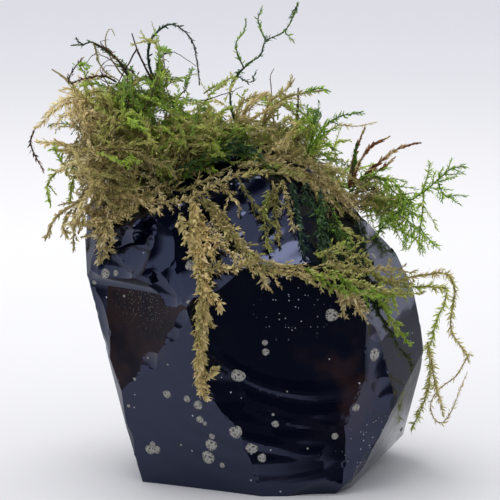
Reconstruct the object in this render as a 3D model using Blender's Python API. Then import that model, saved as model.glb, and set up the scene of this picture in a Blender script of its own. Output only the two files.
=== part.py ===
"""A loose lump of obsidian with a clump of feather moss draped over its top.

The stone is a rough block with flake scars cut out of it. The moss is a few
tangled cushions, which rest on the stone, and the single shoots that hang,
arch or stand clear of them. Lengths are in millimetres until a mesh is made.
+Z is up, +Y points away from the stone's broad glassy face, and the origin is
on the flat base that the stone rests on.
"""
import math

import bmesh
import bpy
import numpy as np
from mathutils import Vector
from mathutils.bvhtree import BVHTree

MM = 0.001
GAP = 0.35             # air between two pieces that touch
SCAR_CELL = 4.5        # facet size of the hollow left by a flake
CUTTER_DEPTH = 60.0    # how far a cutter reaches out past the stone
CUSHION_CELL = 3.2     # facet size of a moss cushion
SHOOT_SIDES = 6
SHOOT_STEP = 3.6       # distance between two rings of a shoot
RAY_START = 150.0      # rays that find a surface start this far out

# Corners of the rough block, ring by ring from the base up.
BASE_CORNERS = [
    (-27, -13, 0), (-21, -24, 0), (-3, -28, 0), (16, -27, 0), (25, -15, 0),
    (33.5, 10, 0), (24, 26, 0), (-12, 28, 0), (-25, 16, 0),
]
LEFT_CORNERS = [
    (-32.5, -6, 22), (-37.5, -4, 39), (-40.5, -4, 51), (-41, -2, 60), (-40.5, 2, 68), (-36, 3, 72),
]
CROWN_CORNERS = [
    (-22, 0, 74), (-11, 0, 79), (-4, 1, 83), (3, 2, 84), (13, 4, 79), (25, 6, 68), (30, 6, 62), (37, 7, 55),
]
RIGHT_CORNERS = [
    (41.5, 6, 45.5), (43.5, 6, 36), (44.3, 6, 30), (43.8, 8, 24.5), (42.4, 14, 15.5), (40.0, 14, 5.5),
]
FRONT_CORNERS = [
    (-22, -30, 14), (-18, -30, 46), (-22, -24, 64), (2, -26, 66), (22, -26, 56),
    (28, -28, 34), (24, -30, 8), (36, -16, 22), (-34, -14, 60),
]
BACK_CORNERS = [
    (-31, 22, 30), (-36, 20, 56), (-33, 20, 68), (-12, 26, 74), (8, 27, 76),
    (27, 27, 56), (38, 25, 34), (32, 29, 14), (0, 33, 40), (-15, 31, 18),
]

# Flake scars: the deepest point, the way it faces, the radii of its curve
# across and up, and half its width.
SCARS = {
    "great_front": ((9, -20.5, 34), (0, -1, 0), (110, 110), 48),
    "left_slope": ((-20, -16, 20), (-0.36, -0.9, -0.17), (400, 300), 60),
    "left_middle": ((-30, -10.7, 38), (-0.67, -0.74, 0.08), (90, 200), 16),
    "left_pit": ((-24, -14.5, 66), (0, -0.95, 0.3), (30, 16), 16),
    "left_edge": ((-36.2, -6.5, 41), (-0.8, -0.6, -0.1), (14, 26), 12),
    "right_lower": ((30.2, -18.0, 14.8), (0.42, -0.9, -0.1), (90, 60), 40),
    "right_middle": ((36.2, -17.2, 27.2), (0.62, -0.78, 0.12), (60, 90), 40),
    "right_edge": ((40, -8, 28), (0.9, -0.42, 0.02), (60, 120), 40),
    "right_foot": ((33, -11, 5), (0.6, -0.55, -0.45), (70, 70), 40),
    "right_shoulder": ((27, -5, 60), (0.5, -0.5, 0.7), (120, 90), 40),
    "crown_front": ((2, -13, 70), (0.05, -0.85, 0.5), (50, 60), 40),
    "back_high": ((-8, 25, 58), (-0.1, 0.95, 0.25), (45, 55), 40),
    "back_low": ((14, 26.5, 24), (0.25, 0.95, -0.1), (60, 50), 40),
    "back_left": ((-30, 15, 44), (-0.85, 0.5, 0.05), (50, 60), 40),
    "back_right": ((33, 20, 44), (0.75, 0.6, 0.2), (50, 60), 40),
}

# Moss cushions: each is a few lumps, given by centre and radii.
CUSHIONS = {
    "crown_tangle": [
        ((-18, 0, 82), (9, 10, 6)), ((-8, 1, 86), (9, 9, 5)), ((3, 3, 89), (8, 8, 4.5)),
        ((12, 4, 85), (7, 7, 6)), ((19, 5, 77), (6, 7, 5.5)),
    ],
    "green_tuft": [
        ((-25, 2, 94), (9, 9, 7)), ((-15, 1, 93), (9, 9, 7)), ((-20, 3, 98), (9, 7, 5)),
        ((-29, 2, 98), (5, 6, 5)), ((-11, 2, 96), (6, 6, 5)),
    ],
    "golden_cushion": [
        ((-35, -2, 78), (9, 9, 7)), ((-31, -4, 85), (8, 8, 8)), ((-39, 1, 86), (6, 7, 7)),
        ((-28, -3, 78), (8, 8, 6)), ((-36, 3, 91), (5, 6, 5)),
    ],
    "right_tangle": [
        ((25, 5, 71), (6, 7, 4.5)), ((31, 6, 65), (6, 7, 4.5)), ((26, 4, 75), (4, 4, 4)),
    ],
    "back_drape": [
        ((-24, 19, 78), (10, 8, 6)), ((-8, 19, 82), (10, 8, 5.5)), ((9, 19, 82), (10, 8, 5.5)),
        ((-14, 27, 73), (9, 5, 8)), ((4, 28, 72), (9, 5, 9)), ((19, 24, 73), (8, 6, 6)),
    ],
}
CUSHION_COLOURS = {
    "crown_tangle": (0.23, 0.19, 0.07),
    "green_tuft": (0.12, 0.21, 0.03),
    "golden_cushion": (0.30, 0.22, 0.08),
    "right_tangle": (0.20, 0.22, 0.06),
    "back_drape": (0.16, 0.20, 0.05),
}

GREEN = (0.12, 0.22, 0.03)
DARK_GREEN = (0.03, 0.07, 0.03)
OLIVE = (0.20, 0.18, 0.06)
TAN = (0.33, 0.26, 0.12)
RUST = (0.22, 0.09, 0.03)
BARE = (0.05, 0.045, 0.02)

# Shoots that lie against the stone: radius, colour, the side they lie on
# (-1 in front, 1 behind) and their route as (x, z).
DRAPED_SHOOTS = {
    "hanging_strand": (1.7, TAN, -1, [(-14, 70), (-13.5, 66), (-12.5, 59.5), (-11, 51.5), (-11.5, 39),
                                      (-12, 31.5), (-11, 25.5)]),
    "diagonal_strand": (1.8, TAN, -1, [(-9, 70.5), (-5.5, 64.5), (3, 58.5), (12, 57), (20, 54)]),
    "shoulder_strand": (1.9, OLIVE, -1, [(21, 57), (28, 54.5), (34, 51.5), (39, 49.5)]),
    "brown_tuft": (1.7, TAN, -1, [(21.5, 51), (25, 48.5), (27, 45)]),
    "green_streamer": (1.2, GREEN, -1, [(32, 47.5), (34, 43), (37, 38), (40, 34)]),
    "front_rope": (1.5, TAN, -1, [(-37, 65.5), (-32, 69.5), (-24.5, 71.5), (-18, 72), (-10, 75), (-4, 78)]),
    "crown_rope": (1.4, TAN, -1, [(-1, 79), (5, 79), (12.5, 76), (18, 71.5), (23, 66)]),
    "dark_drape_a": (1.3, DARK_GREEN, -1, [(5.5, 75), (6, 70), (7, 63)]),
    "dark_drape_b": (1.3, DARK_GREEN, -1, [(10, 73), (11.5, 67.5), (13, 61)]),
    "dark_drape_c": (1.3, DARK_GREEN, -1, [(15, 70.5), (17, 65.5), (18.5, 60)]),
    "dark_drape_d": (1.3, DARK_GREEN, -1, [(20, 66.5), (22.5, 62.5), (24.5, 59)]),
    "left_drape": (1.4, OLIVE, -1, [(-36.5, 63), (-36, 60), (-35, 57)]),
    "back_strand_a": (1.5, GREEN, 1, [(-24, 70), (-26, 62), (-25, 52), (-28, 42)]),
    "back_strand_b": (1.6, OLIVE, 1, [(-10, 62), (-9, 52), (-12, 43), (-10, 34)]),
    "back_strand_c": (1.4, TAN, 1, [(8, 61), (10, 52), (8, 44)]),
    "back_strand_d": (1.5, GREEN, 1, [(21, 65), (23, 56), (28, 46), (29, 36)]),
}

# Shoots that stand, arch or hang in the air: radius at the root and at the
# tip, colour, and their route as (x, y, z) from the root. A route may start
# or end inside a cushion: the shoot is made only where it is clear of it.
FREE_SHOOTS = {
    "tan_arch": (1.5, 0.7, TAN, [(-37, 0, 91), (-42, 0, 94), (-46, -1, 93.5), (-49.5, -3, 91), (-53, -4, 87.5)]),
    "dark_wire": (0.6, 0.5, BARE, [(-53.5, -4.3, 86.5), (-53.5, -5.5, 82.5), (-51, -6.5, 78.5)]),
    "leafy_drop": (1.4, 0.9, GREEN, [(-38, -3, 80), (-46, -4, 78), (-49, -5, 76), (-50, -6, 73), (-49, -6, 70)]),
    "tan_bar": (1.2, 0.6, TAN, [(-41, 2, 82.5), (-48, 2, 83.5), (-53.5, 2, 84)]),
    "green_sprig": (0.9, 0.5, DARK_GREEN, [(-41, 5, 87), (-47, 6, 88), (-50.5, 6, 87.5)]),
    "short_drop": (1.3, 0.9, GREEN, [(-38, -8, 79), (-43, -9, 76.5), (-44, -9.5, 72)]),
    "tan_branch": (1.6, 1.1, TAN, [(-39, -4, 73), (-43, -5, 69.5), (-47.5, -7, 66.5), (-50, -7, 62)]),
    "left_tassel": (1.6, 1.2, OLIVE, [(-40, 1, 74), (-43, 1, 69), (-44, 0, 64), (-44, 0, 58)]),
    "straw": (0.7, 0.5, TAN, [(-37, 3, 91), (-42.5, 4, 96), (-45, 3, 99), (-49, 2, 102)]),
    "dark_stem": (0.7, 0.5, BARE, [(-29, 4, 98), (-32, 4, 103.5), (-38.5, 2, 108.5), (-43.5, 0, 108.5)]),
    "curled_stem": (0.6, 0.5, BARE, [(-30, 6, 98), (-34.5, 7, 104), (-36, 6, 109), (-34.5, 6, 112)]),
    "forked_twig": (0.6, 0.5, BARE, [(-25, 2, 99), (-27, 1, 105), (-29, 0, 111)]),
    "arch_stem": (0.9, 0.8, DARK_GREEN, [(-23, 5, 99), (-25, 6, 106), (-24.5, 5, 109.5), (-22, 4, 112),
                                         (-19, 3, 112.5), (-16, 2, 110.5), (-14, 2, 107), (-13, 2, 99)]),
    "top_twig": (0.6, 0.4, DARK_GREEN, [(-3.5, 3, 88), (-3.5, 4, 98.5), (0, 4, 103), (2.5, 3, 105.5), (4, 2, 109),
                                        (8.5, 2, 111.5), (11, 1, 116), (11.5, 1, 118.5)]),
    "twig_fork_left": (0.6, 0.5, GREEN, [(-1, 3.5, 101.5), (-3.5, 1, 108), (-1.5, 0, 111.5), (-1, 0, 114.5)]),
    "twig_fork_middle": (0.7, 0.5, GREEN, [(4, 2.5, 108.5), (1.5, 5, 113.5), (3, 6, 117)]),
    "tan_tip": (1.0, 0.6, TAN, [(-1, 0, 89), (0, -4, 94), (4.5, -4.5, 97)]),
    "pale_plume": (1.2, 0.6, OLIVE, [(5, 1, 90), (8, -1, 95), (13, -1, 96.5), (18, -1, 97)]),
    "red_thread": (0.5, 0.4, RUST, [(5, 5, 91), (5, 5, 99), (6, 4, 102)]),
    "dark_upright": (0.9, 0.6, BARE, [(12, 5, 88), (12, 6, 95), (12, 5.5, 98)]),
    "green_upright": (1.3, 0.9, GREEN, [(15, 0, 83), (17, -3.5, 88.5), (17, -4, 92)]),
    "green_arch": (1.2, 0.7, GREEN, [(17, 5, 82), (20, 4, 88.5), (24, 3, 90.5), (28, 2, 91.5)]),
    "tan_under_arch": (0.8, 0.5, TAN, [(18, 8, 80), (23, 8, 86.5), (28, 6, 87.5), (31.5, 5, 88.5)]),
    "rust_tip_a": (0.9, 0.6, RUST, [(26, 4, 75), (26, 3, 80), (27, 3, 83), (28.5, 2, 87)]),
    "rust_tip_b": (1.0, 0.7, RUST, [(26, 2, 75), (29, -1.5, 82), (34.5, -3, 86)]),
    "rust_tip_c": (0.9, 0.6, RUST, [(26, 6, 74), (33.5, 6, 79), (37.5, 5, 82), (42.5, 4, 83.5)]),
    "spray_a": (1.3, 0.9, GREEN, [(27, 3, 73), (31, 1, 75), (34, 0, 74), (36.5, -1, 71.5), (39.5, -2, 70),
                                  (43.5, -3, 72.5), (47, -3, 75.5), (49.5, -4, 78), (53, -4, 78.5)]),
    "spray_side": (1.0, 0.7, GREEN, [(43, -2, 72), (43.5, 1.5, 75), (45, 3, 78.5)]),
    "spray_b": (1.2, 0.9, GREEN, [(43.5, -3.5, 72), (42.5, -6, 68), (41.5, -7, 61.5), (42, -7, 58)]),
    "spray_c": (1.2, 0.8, GREEN, [(31, 8, 66), (35.5, 9.5, 66), (38.5, 10.5, 63), (41, 11, 58.5)]),
    "loop_outer": (1.4, 1.1, OLIVE, [(38, -5, 50), (43.5, -6, 52), (47.5, -6.5, 52.5), (50, -6.5, 51),
                                     (51, -6.5, 48), (50.5, -6, 44), (50, -5, 40), (50.5, -5, 36.5), (53, -4, 33),
                                     (55, -3, 29.5)]),
    "loop_inner": (1.2, 1.0, GREEN, [(40, -6, 49), (44, -10.5, 49.5), (47.5, -12, 49), (47.5, -12.5, 46),
                                     (46, -12, 42), (45, -11, 37), (44.5, -9.5, 33)]),
    "thin_loop_a": (0.6, 0.5, OLIVE, [(44.5, -9.5, 34), (46, -7.5, 26), (47, -6.5, 22), (48, -6, 18)]),
    "thin_loop_b": (0.6, 0.5, OLIVE, [(54.5, -2.5, 31), (53, 0, 26), (50.5, 1, 23), (47.5, 1, 20.5), (45.7, 1, 17),
                                      (46.5, 0, 13.5), (49, -1, 12.5), (51, -2, 15.5), (52.5, -3, 20),
                                      (54, -4, 24.5)]),
    "edge_strip": (1.2, 0.9, OLIVE, [(45.5, 1, 31), (46, 2, 26.5), (45.5, 4, 20), (44.5, 9, 14), (43, 13, 9)]),
}


def make_material(name, colour, roughness):
    """A plain Principled finish in one colour."""
    material = bpy.data.materials.new(name)
    material.use_nodes = True
    shader = material.node_tree.nodes["Principled BSDF"]
    shader.inputs["Base Color"].default_value = (*colour, 1.0)
    shader.inputs["Roughness"].default_value = roughness
    shader.inputs["Metallic"].default_value = 0.0
    return material


def add_object(name, mesh, material=None):
    """Put a mesh in the scene as a named object."""
    item = bpy.data.objects.new(name, mesh)
    bpy.context.scene.collection.objects.link(item)
    if material:
        mesh.materials.clear()
        mesh.materials.append(material)
    return item


def mesh_from(name, points, faces):
    """A closed mesh from points in millimetres, with its faces turned outward."""
    shape = bmesh.new()
    corners = [shape.verts.new(Vector(point) * MM) for point in points]
    for face in faces:
        shape.faces.new([corners[index] for index in face])
    bmesh.ops.recalc_face_normals(shape, faces=shape.faces)
    mesh = bpy.data.meshes.new(name)
    shape.to_mesh(mesh)
    shape.free()
    return mesh


def apply_modifiers(item):
    """Make an object's evaluated mesh its own mesh."""
    bpy.context.view_layer.update()
    graph = bpy.context.evaluated_depsgraph_get()
    mesh = bpy.data.meshes.new_from_object(item.evaluated_get(graph), depsgraph=graph)
    item.modifiers.clear()
    item.data = mesh


def subtract(item, cutters):
    """Cut other objects out of an object, and remove those cutters."""
    for cutter in cutters:
        cutter.hide_render = True
        cutter.display_type = "WIRE"
        cut = item.modifiers.new(cutter.name, "BOOLEAN")
        cut.operation = "DIFFERENCE"
        cut.solver = "EXACT"
        cut.object = cutter
    apply_modifiers(item)
    for cutter in cutters:
        bpy.data.objects.remove(cutter)


def tidy_mesh(item):
    """Merge the slivers that a cut leaves, so that no edge is shorter than the welding distance."""
    shape = bmesh.new()
    shape.from_mesh(item.data)
    bmesh.ops.triangulate(shape, faces=shape.faces)
    bmesh.ops.remove_doubles(shape, verts=shape.verts, dist=0.25 * MM)
    bmesh.ops.dissolve_degenerate(shape, edges=shape.edges, dist=0.05 * MM)
    bmesh.ops.triangulate(shape, faces=shape.faces)
    bmesh.ops.recalc_face_normals(shape, faces=shape.faces)
    shape.to_mesh(item.data)
    shape.free()


def rough_block():
    """The convex block that the flakes are struck from."""
    shape = bmesh.new()
    for ring in (BASE_CORNERS, LEFT_CORNERS, CROWN_CORNERS, RIGHT_CORNERS, FRONT_CORNERS, BACK_CORNERS):
        for corner in ring:
            shape.verts.new(Vector(corner) * MM)
    bmesh.ops.convex_hull(shape, input=shape.verts)
    bmesh.ops.delete(shape, geom=[v for v in shape.verts if not v.link_faces], context="VERTS")
    bmesh.ops.recalc_face_normals(shape, faces=shape.faces)
    mesh = bpy.data.meshes.new("rough_block")
    shape.to_mesh(mesh)
    shape.free()
    return mesh


def scar_cutter(name, deepest, facing, radii, reach):
    """A closed block whose inner face is the shallow dish that a flake leaves."""
    out = Vector(facing).normalized()
    across = Vector((0, 0, 1)).cross(out).normalized()
    up = out.cross(across)
    count = max(6, round(2 * reach / SCAR_CELL)) + 1
    marks = np.linspace(-reach, reach, count)
    points = []
    for a in marks:
        for b in marks:
            rise = a * a / (2 * radii[0]) + b * b / (2 * radii[1])
            points.append(Vector(deepest) + across * a + up * b + out * rise)
    faces = []
    for i in range(count - 1):
        for j in range(count - 1):
            corner = i * count + j
            faces.append((corner, corner + 1, corner + count + 1, corner + count))
    rim = [j for j in range(count)]
    rim += [i * count + count - 1 for i in range(1, count)]
    rim += [(count - 1) * count + j for j in range(count - 2, -1, -1)]
    rim += [i * count for i in range(count - 2, 0, -1)]
    lid_start = len(points)
    for index in rim:
        i, j = divmod(index, count)
        points.append(Vector(deepest) + across * marks[i] + up * marks[j] + out * CUTTER_DEPTH)
    for step, index in enumerate(rim):
        after = (step + 1) % len(rim)
        faces.append((rim[after], index, lid_start + step, lid_start + after))
    faces.append([lid_start + step for step in range(len(rim))])
    return add_object("cut_" + name, mesh_from(name, points, faces))


def make_stone():
    """The obsidian: the rough block less its flake scars."""
    glass = make_material("obsidian", (0.012, 0.013, 0.019), 0.12)
    stone = add_object("stone", rough_block(), glass)
    subtract(stone, [scar_cutter(name, *scar) for name, scar in SCARS.items()])
    tidy_mesh(stone)
    return stone


def surface_of(item):
    """A search tree of an object's surface, in millimetres."""
    mesh = item.data
    mesh.calc_loop_triangles()
    points = [vertex.co / MM for vertex in mesh.vertices]
    return BVHTree.FromPolygons(points, [tri.vertices[:] for tri in mesh.loop_triangles])


def grown_copy(item, distance):
    """A copy of an object, swollen by a distance in millimetres, to cut its neighbours with."""
    shape = bmesh.new()
    shape.from_mesh(item.data)
    shape.normal_update()
    moves = [(v, v.normal * min(v.calc_shell_factor(), 1.6)) for v in shape.verts]
    for vertex, move in moves:
        vertex.co += move * distance * MM
    mesh = bpy.data.meshes.new("grown_" + item.name)
    shape.to_mesh(mesh)
    shape.free()
    return add_object("grown_" + item.name, mesh)


def make_cushion(name, lumps, neighbours):
    """A tangle of moss: lumps run together, cut clear of what it rests against."""
    shape = bmesh.new()
    for centre, radii in lumps:
        made = bmesh.ops.create_icosphere(shape, subdivisions=3, radius=1.0)["verts"]
        for vertex in made:
            vertex.co = Vector([c + r * v for c, r, v in zip(centre, radii, vertex.co)]) * MM
    mesh = bpy.data.meshes.new(name)
    shape.to_mesh(mesh)
    shape.free()
    finish = make_material(name + "_moss", CUSHION_COLOURS[name], 0.85)
    cushion = add_object(name, mesh, finish)
    remesh = cushion.modifiers.new("run_together", "REMESH")
    remesh.mode = "VOXEL"
    remesh.voxel_size = CUSHION_CELL * MM
    apply_modifiers(cushion)
    subtract(cushion, [grown_copy(item, GAP) for item in neighbours])
    keep_largest(cushion)
    tidy_mesh(cushion)
    return cushion


def keep_largest(item):
    """Drop the crumbs that a cut leaves beside the main body."""
    shape = bmesh.new()
    shape.from_mesh(item.data)
    left = set(shape.verts)
    bodies = []
    while left:
        body = {left.pop()}
        edge_of_search = list(body)
        while edge_of_search:
            vertex = edge_of_search.pop()
            for edge in vertex.link_edges:
                other = edge.other_vert(vertex)
                if other not in body:
                    body.add(other)
                    edge_of_search.append(other)
        left -= body
        bodies.append(body)
    main = max(bodies, key=len)
    spare = [vertex for vertex in shape.verts if vertex not in main]
    bmesh.ops.delete(shape, geom=spare, context="VERTS")
    shape.to_mesh(item.data)
    shape.free()


def even_route(points, step):
    """Points about one step apart on a smooth curve through the given ones."""
    route = [np.array(point, dtype=float) for point in points]
    padded = [2 * route[0] - route[1]] + route + [2 * route[-1] - route[-2]]
    dense = []
    for before, start, end, after in zip(padded, padded[1:], padded[2:], padded[3:]):
        for t in np.linspace(0, 1, 12, endpoint=False):
            dense.append(0.5 * (2 * start + (end - before) * t
                                + (2 * before - 5 * start + 4 * end - after) * t ** 2
                                + (3 * start - before - 3 * end + after) * t ** 3))
    dense = np.array(dense + [route[-1]])
    lengths = np.concatenate([[0], np.cumsum(np.linalg.norm(np.diff(dense, axis=0), axis=1))])
    count = max(2, round(lengths[-1] / step)) + 1
    marks = np.linspace(0, lengths[-1], count)
    return np.stack([np.interp(marks, lengths, dense[:, axis]) for axis in range(dense.shape[1])], axis=1)


def lay_on(route, side, radius, surfaces):
    """Heights of a route of (x, z) points over what it lies on, bridging the hollows."""
    reach = radius + GAP
    offsets = [(0, 0), (reach, 0), (-reach, 0), (0, reach), (0, -reach)]
    found = []
    for x, z in route:
        hits = []
        for dx, dz in offsets:
            start = Vector((x + dx, side * RAY_START, z + dz))
            for surface in surfaces:
                place = surface.ray_cast(start, Vector((0, -side, 0)))[0]
                if place:
                    hits.append(side * place.y)
        found.append(max(hits) + reach if hits else math.nan)
    heights = np.array(found)
    known = ~np.isnan(heights)
    marks = np.arange(len(heights))
    heights = np.interp(marks, marks[known], heights[known])
    spans = np.abs(marks[:, None] - marks[None, :]) * SHOOT_STEP
    taut = np.max(heights[None, :] - 0.8 * spans, axis=1)
    return side * taut


def tube_mesh(name, route, radii):
    """A tapered tube with round-ish ends, along a route of (x, y, z) points."""
    tangents = np.gradient(route, axis=0)
    tangents /= np.linalg.norm(tangents, axis=1)[:, None]
    normal = np.cross(tangents[0], (0.31, 0.62, 0.72))
    points = []
    for place, along, radius in zip(route, tangents, radii):
        normal = normal - along * np.dot(normal, along)
        normal /= np.linalg.norm(normal)
        second = np.cross(along, normal)
        for turn in range(SHOOT_SIDES):
            angle = 2 * math.pi * turn / SHOOT_SIDES
            points.append(place + radius * (math.cos(angle) * normal + math.sin(angle) * second))
    faces = []
    for ring in range(len(route) - 1):
        for turn in range(SHOOT_SIDES):
            a = ring * SHOOT_SIDES + turn
            b = ring * SHOOT_SIDES + (turn + 1) % SHOOT_SIDES
            faces.append((a, b, b + SHOOT_SIDES, a + SHOOT_SIDES))
    first_cap = len(points)
    points.append(route[0] - tangents[0] * radii[0] * 0.6)
    points.append(route[-1] + tangents[-1] * radii[-1] * 0.6)
    last_ring = (len(route) - 1) * SHOOT_SIDES
    for turn in range(SHOOT_SIDES):
        after = (turn + 1) % SHOOT_SIDES
        faces.append((after, turn, first_cap))
        faces.append((last_ring + turn, last_ring + after, first_cap + 1))
    return mesh_from(name, points, faces)


def shoot_radii(count, root, tip):
    """Radii along a shoot, full for most of its length and narrowing at the tip."""
    return [root + (tip - root) * mark ** 1.5 for mark in np.linspace(0, 1, count)]


def make_draped_shoot(name, radius, colour, side, route, surfaces):
    """A shoot that lies against the stone, over whatever is already there."""
    flat = even_route(route, SHOOT_STEP)
    depth = lay_on(flat, side, radius, surfaces)
    full = np.column_stack([flat[:, 0], depth, flat[:, 1]])
    mesh = tube_mesh(name, full, shoot_radii(len(full), radius, radius * 0.7))
    return add_object(name, mesh, make_material(name + "_moss", colour, 0.8))


def push_clear(route, radii, surfaces):
    """Move the points of a free shoot until they clear everything already placed."""
    route = route.copy()
    for _ in range(40):
        moved = False
        for index, radius in enumerate(radii):
            for surface in surfaces:
                place, normal, _, distance = surface.find_nearest(Vector(route[index]))
                away = Vector(route[index]) - place
                inside = away.dot(normal) < 0
                need = radius + 1.6 * GAP
                if inside or distance < need:
                    direction = normal if inside or distance < 1e-6 else away / distance
                    route[index] += np.array(direction) * (need - (-distance if inside else distance) + 0.05)
                    moved = True
        if not moved:
            break
    return route


def is_clear(point, radius, surfaces):
    """Whether a ring of this radius at a point stays off every surface."""
    for surface in surfaces:
        place, normal, _, distance = surface.find_nearest(Vector(point))
        outside = (Vector(point) - place).dot(normal) > 0
        if not outside or distance < radius + 1.6 * GAP:
            return False
    return True


def clear_stretch(route, radius, surfaces):
    """The route without the ends that lie inside what it grows from."""
    fine = even_route(route, SHOOT_STEP / 12)
    clear = [is_clear(point, radius, surfaces) for point in fine]
    first = clear.index(True)
    last = len(clear) - 1 - clear[::-1].index(True)
    return even_route(fine[first:last + 1], SHOOT_STEP)


def make_free_shoot(name, root, tip, colour, route, surfaces):
    """A shoot that stands or hangs clear of the rest."""
    spaced = clear_stretch(route, root, surfaces)
    radii = shoot_radii(len(spaced), root, tip)
    cleared = push_clear(spaced, radii, surfaces)
    mesh = tube_mesh(name, cleared, radii)
    return add_object(name, mesh, make_material(name + "_moss", colour, 0.8))


def main():
    for item in list(bpy.data.objects):
        bpy.data.objects.remove(item, do_unlink=True)
    stone = make_stone()
    placed = [stone]
    for name, lumps in CUSHIONS.items():
        placed.append(make_cushion(name, lumps, placed))
    surfaces = [surface_of(item) for item in placed]
    for name, (radius, colour, side, route) in DRAPED_SHOOTS.items():
        shoot = make_draped_shoot(name, radius, colour, side, route, surfaces)
        surfaces.append(surface_of(shoot))
    for name, (root, tip, colour, route) in FREE_SHOOTS.items():
        shoot = make_free_shoot(name, root, tip, colour, route, surfaces)
        surfaces.append(surface_of(shoot))


main()
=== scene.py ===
"""The looks of a moss clump that lies over the top of a loose lump of obsidian.

The stone is struck again here at full fineness: the same rough block and flake
scars as the solid it replaces, with the ripples, chips and grey spherulites of
real volcanic glass. The moss is grown leaf by leaf. Each cushion is a tangle of
wandering shoots, and each single shoot follows its own route.
Lengths are in millimetres until a mesh is made.
"""
import math

import bmesh
import bpy
import numpy as np
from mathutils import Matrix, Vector
from mathutils.bvhtree import BVHTree


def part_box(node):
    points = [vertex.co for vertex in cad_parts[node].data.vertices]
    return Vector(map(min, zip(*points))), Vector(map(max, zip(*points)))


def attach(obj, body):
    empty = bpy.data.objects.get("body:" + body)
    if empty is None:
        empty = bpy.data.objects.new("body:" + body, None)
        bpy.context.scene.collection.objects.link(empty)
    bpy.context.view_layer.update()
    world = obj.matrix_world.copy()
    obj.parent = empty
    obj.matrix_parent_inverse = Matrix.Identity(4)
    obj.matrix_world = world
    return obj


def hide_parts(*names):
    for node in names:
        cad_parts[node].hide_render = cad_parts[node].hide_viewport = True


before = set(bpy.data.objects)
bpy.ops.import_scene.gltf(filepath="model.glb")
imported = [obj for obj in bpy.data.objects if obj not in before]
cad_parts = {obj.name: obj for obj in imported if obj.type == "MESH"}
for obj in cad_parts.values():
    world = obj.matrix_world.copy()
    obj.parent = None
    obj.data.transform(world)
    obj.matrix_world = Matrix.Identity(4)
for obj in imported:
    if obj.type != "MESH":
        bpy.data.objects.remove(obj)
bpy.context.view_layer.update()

MM = 0.001

# ---------------------------------------------------------------- the stone

BASE_CORNERS = [
    (-27, -13, 0), (-21, -24, 0), (-3, -28, 0), (16, -27, 0), (25, -15, 0),
    (33.5, 10, 0), (24, 26, 0), (-12, 28, 0), (-25, 16, 0),
]
LEFT_CORNERS = [
    (-32.5, -6, 22), (-37.5, -4, 39), (-40.5, -4, 51), (-41, -2, 60), (-40.5, 2, 68), (-36, 3, 72),
]
CROWN_CORNERS = [
    (-22, 0, 74), (-11, 0, 79), (-4, 1, 83), (3, 2, 84), (13, 4, 79), (25, 6, 68), (30, 6, 62), (37, 7, 55),
]
RIGHT_CORNERS = [
    (41.5, 6, 45.5), (43.5, 6, 36), (44.3, 6, 30), (43.8, 8, 24.5), (42.4, 14, 15.5), (40.0, 14, 5.5),
]
FRONT_CORNERS = [
    (-22, -30, 14), (-18, -30, 46), (-22, -24, 64), (2, -26, 66), (22, -26, 56),
    (28, -28, 34), (24, -30, 8), (36, -16, 22), (-34, -14, 60),
]
BACK_CORNERS = [
    (-31, 22, 30), (-36, 20, 56), (-33, 20, 68), (-12, 26, 74), (8, 27, 76),
    (27, 27, 56), (38, 25, 34), (32, 29, 14), (0, 33, 40), (-15, 31, 18),
]

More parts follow.
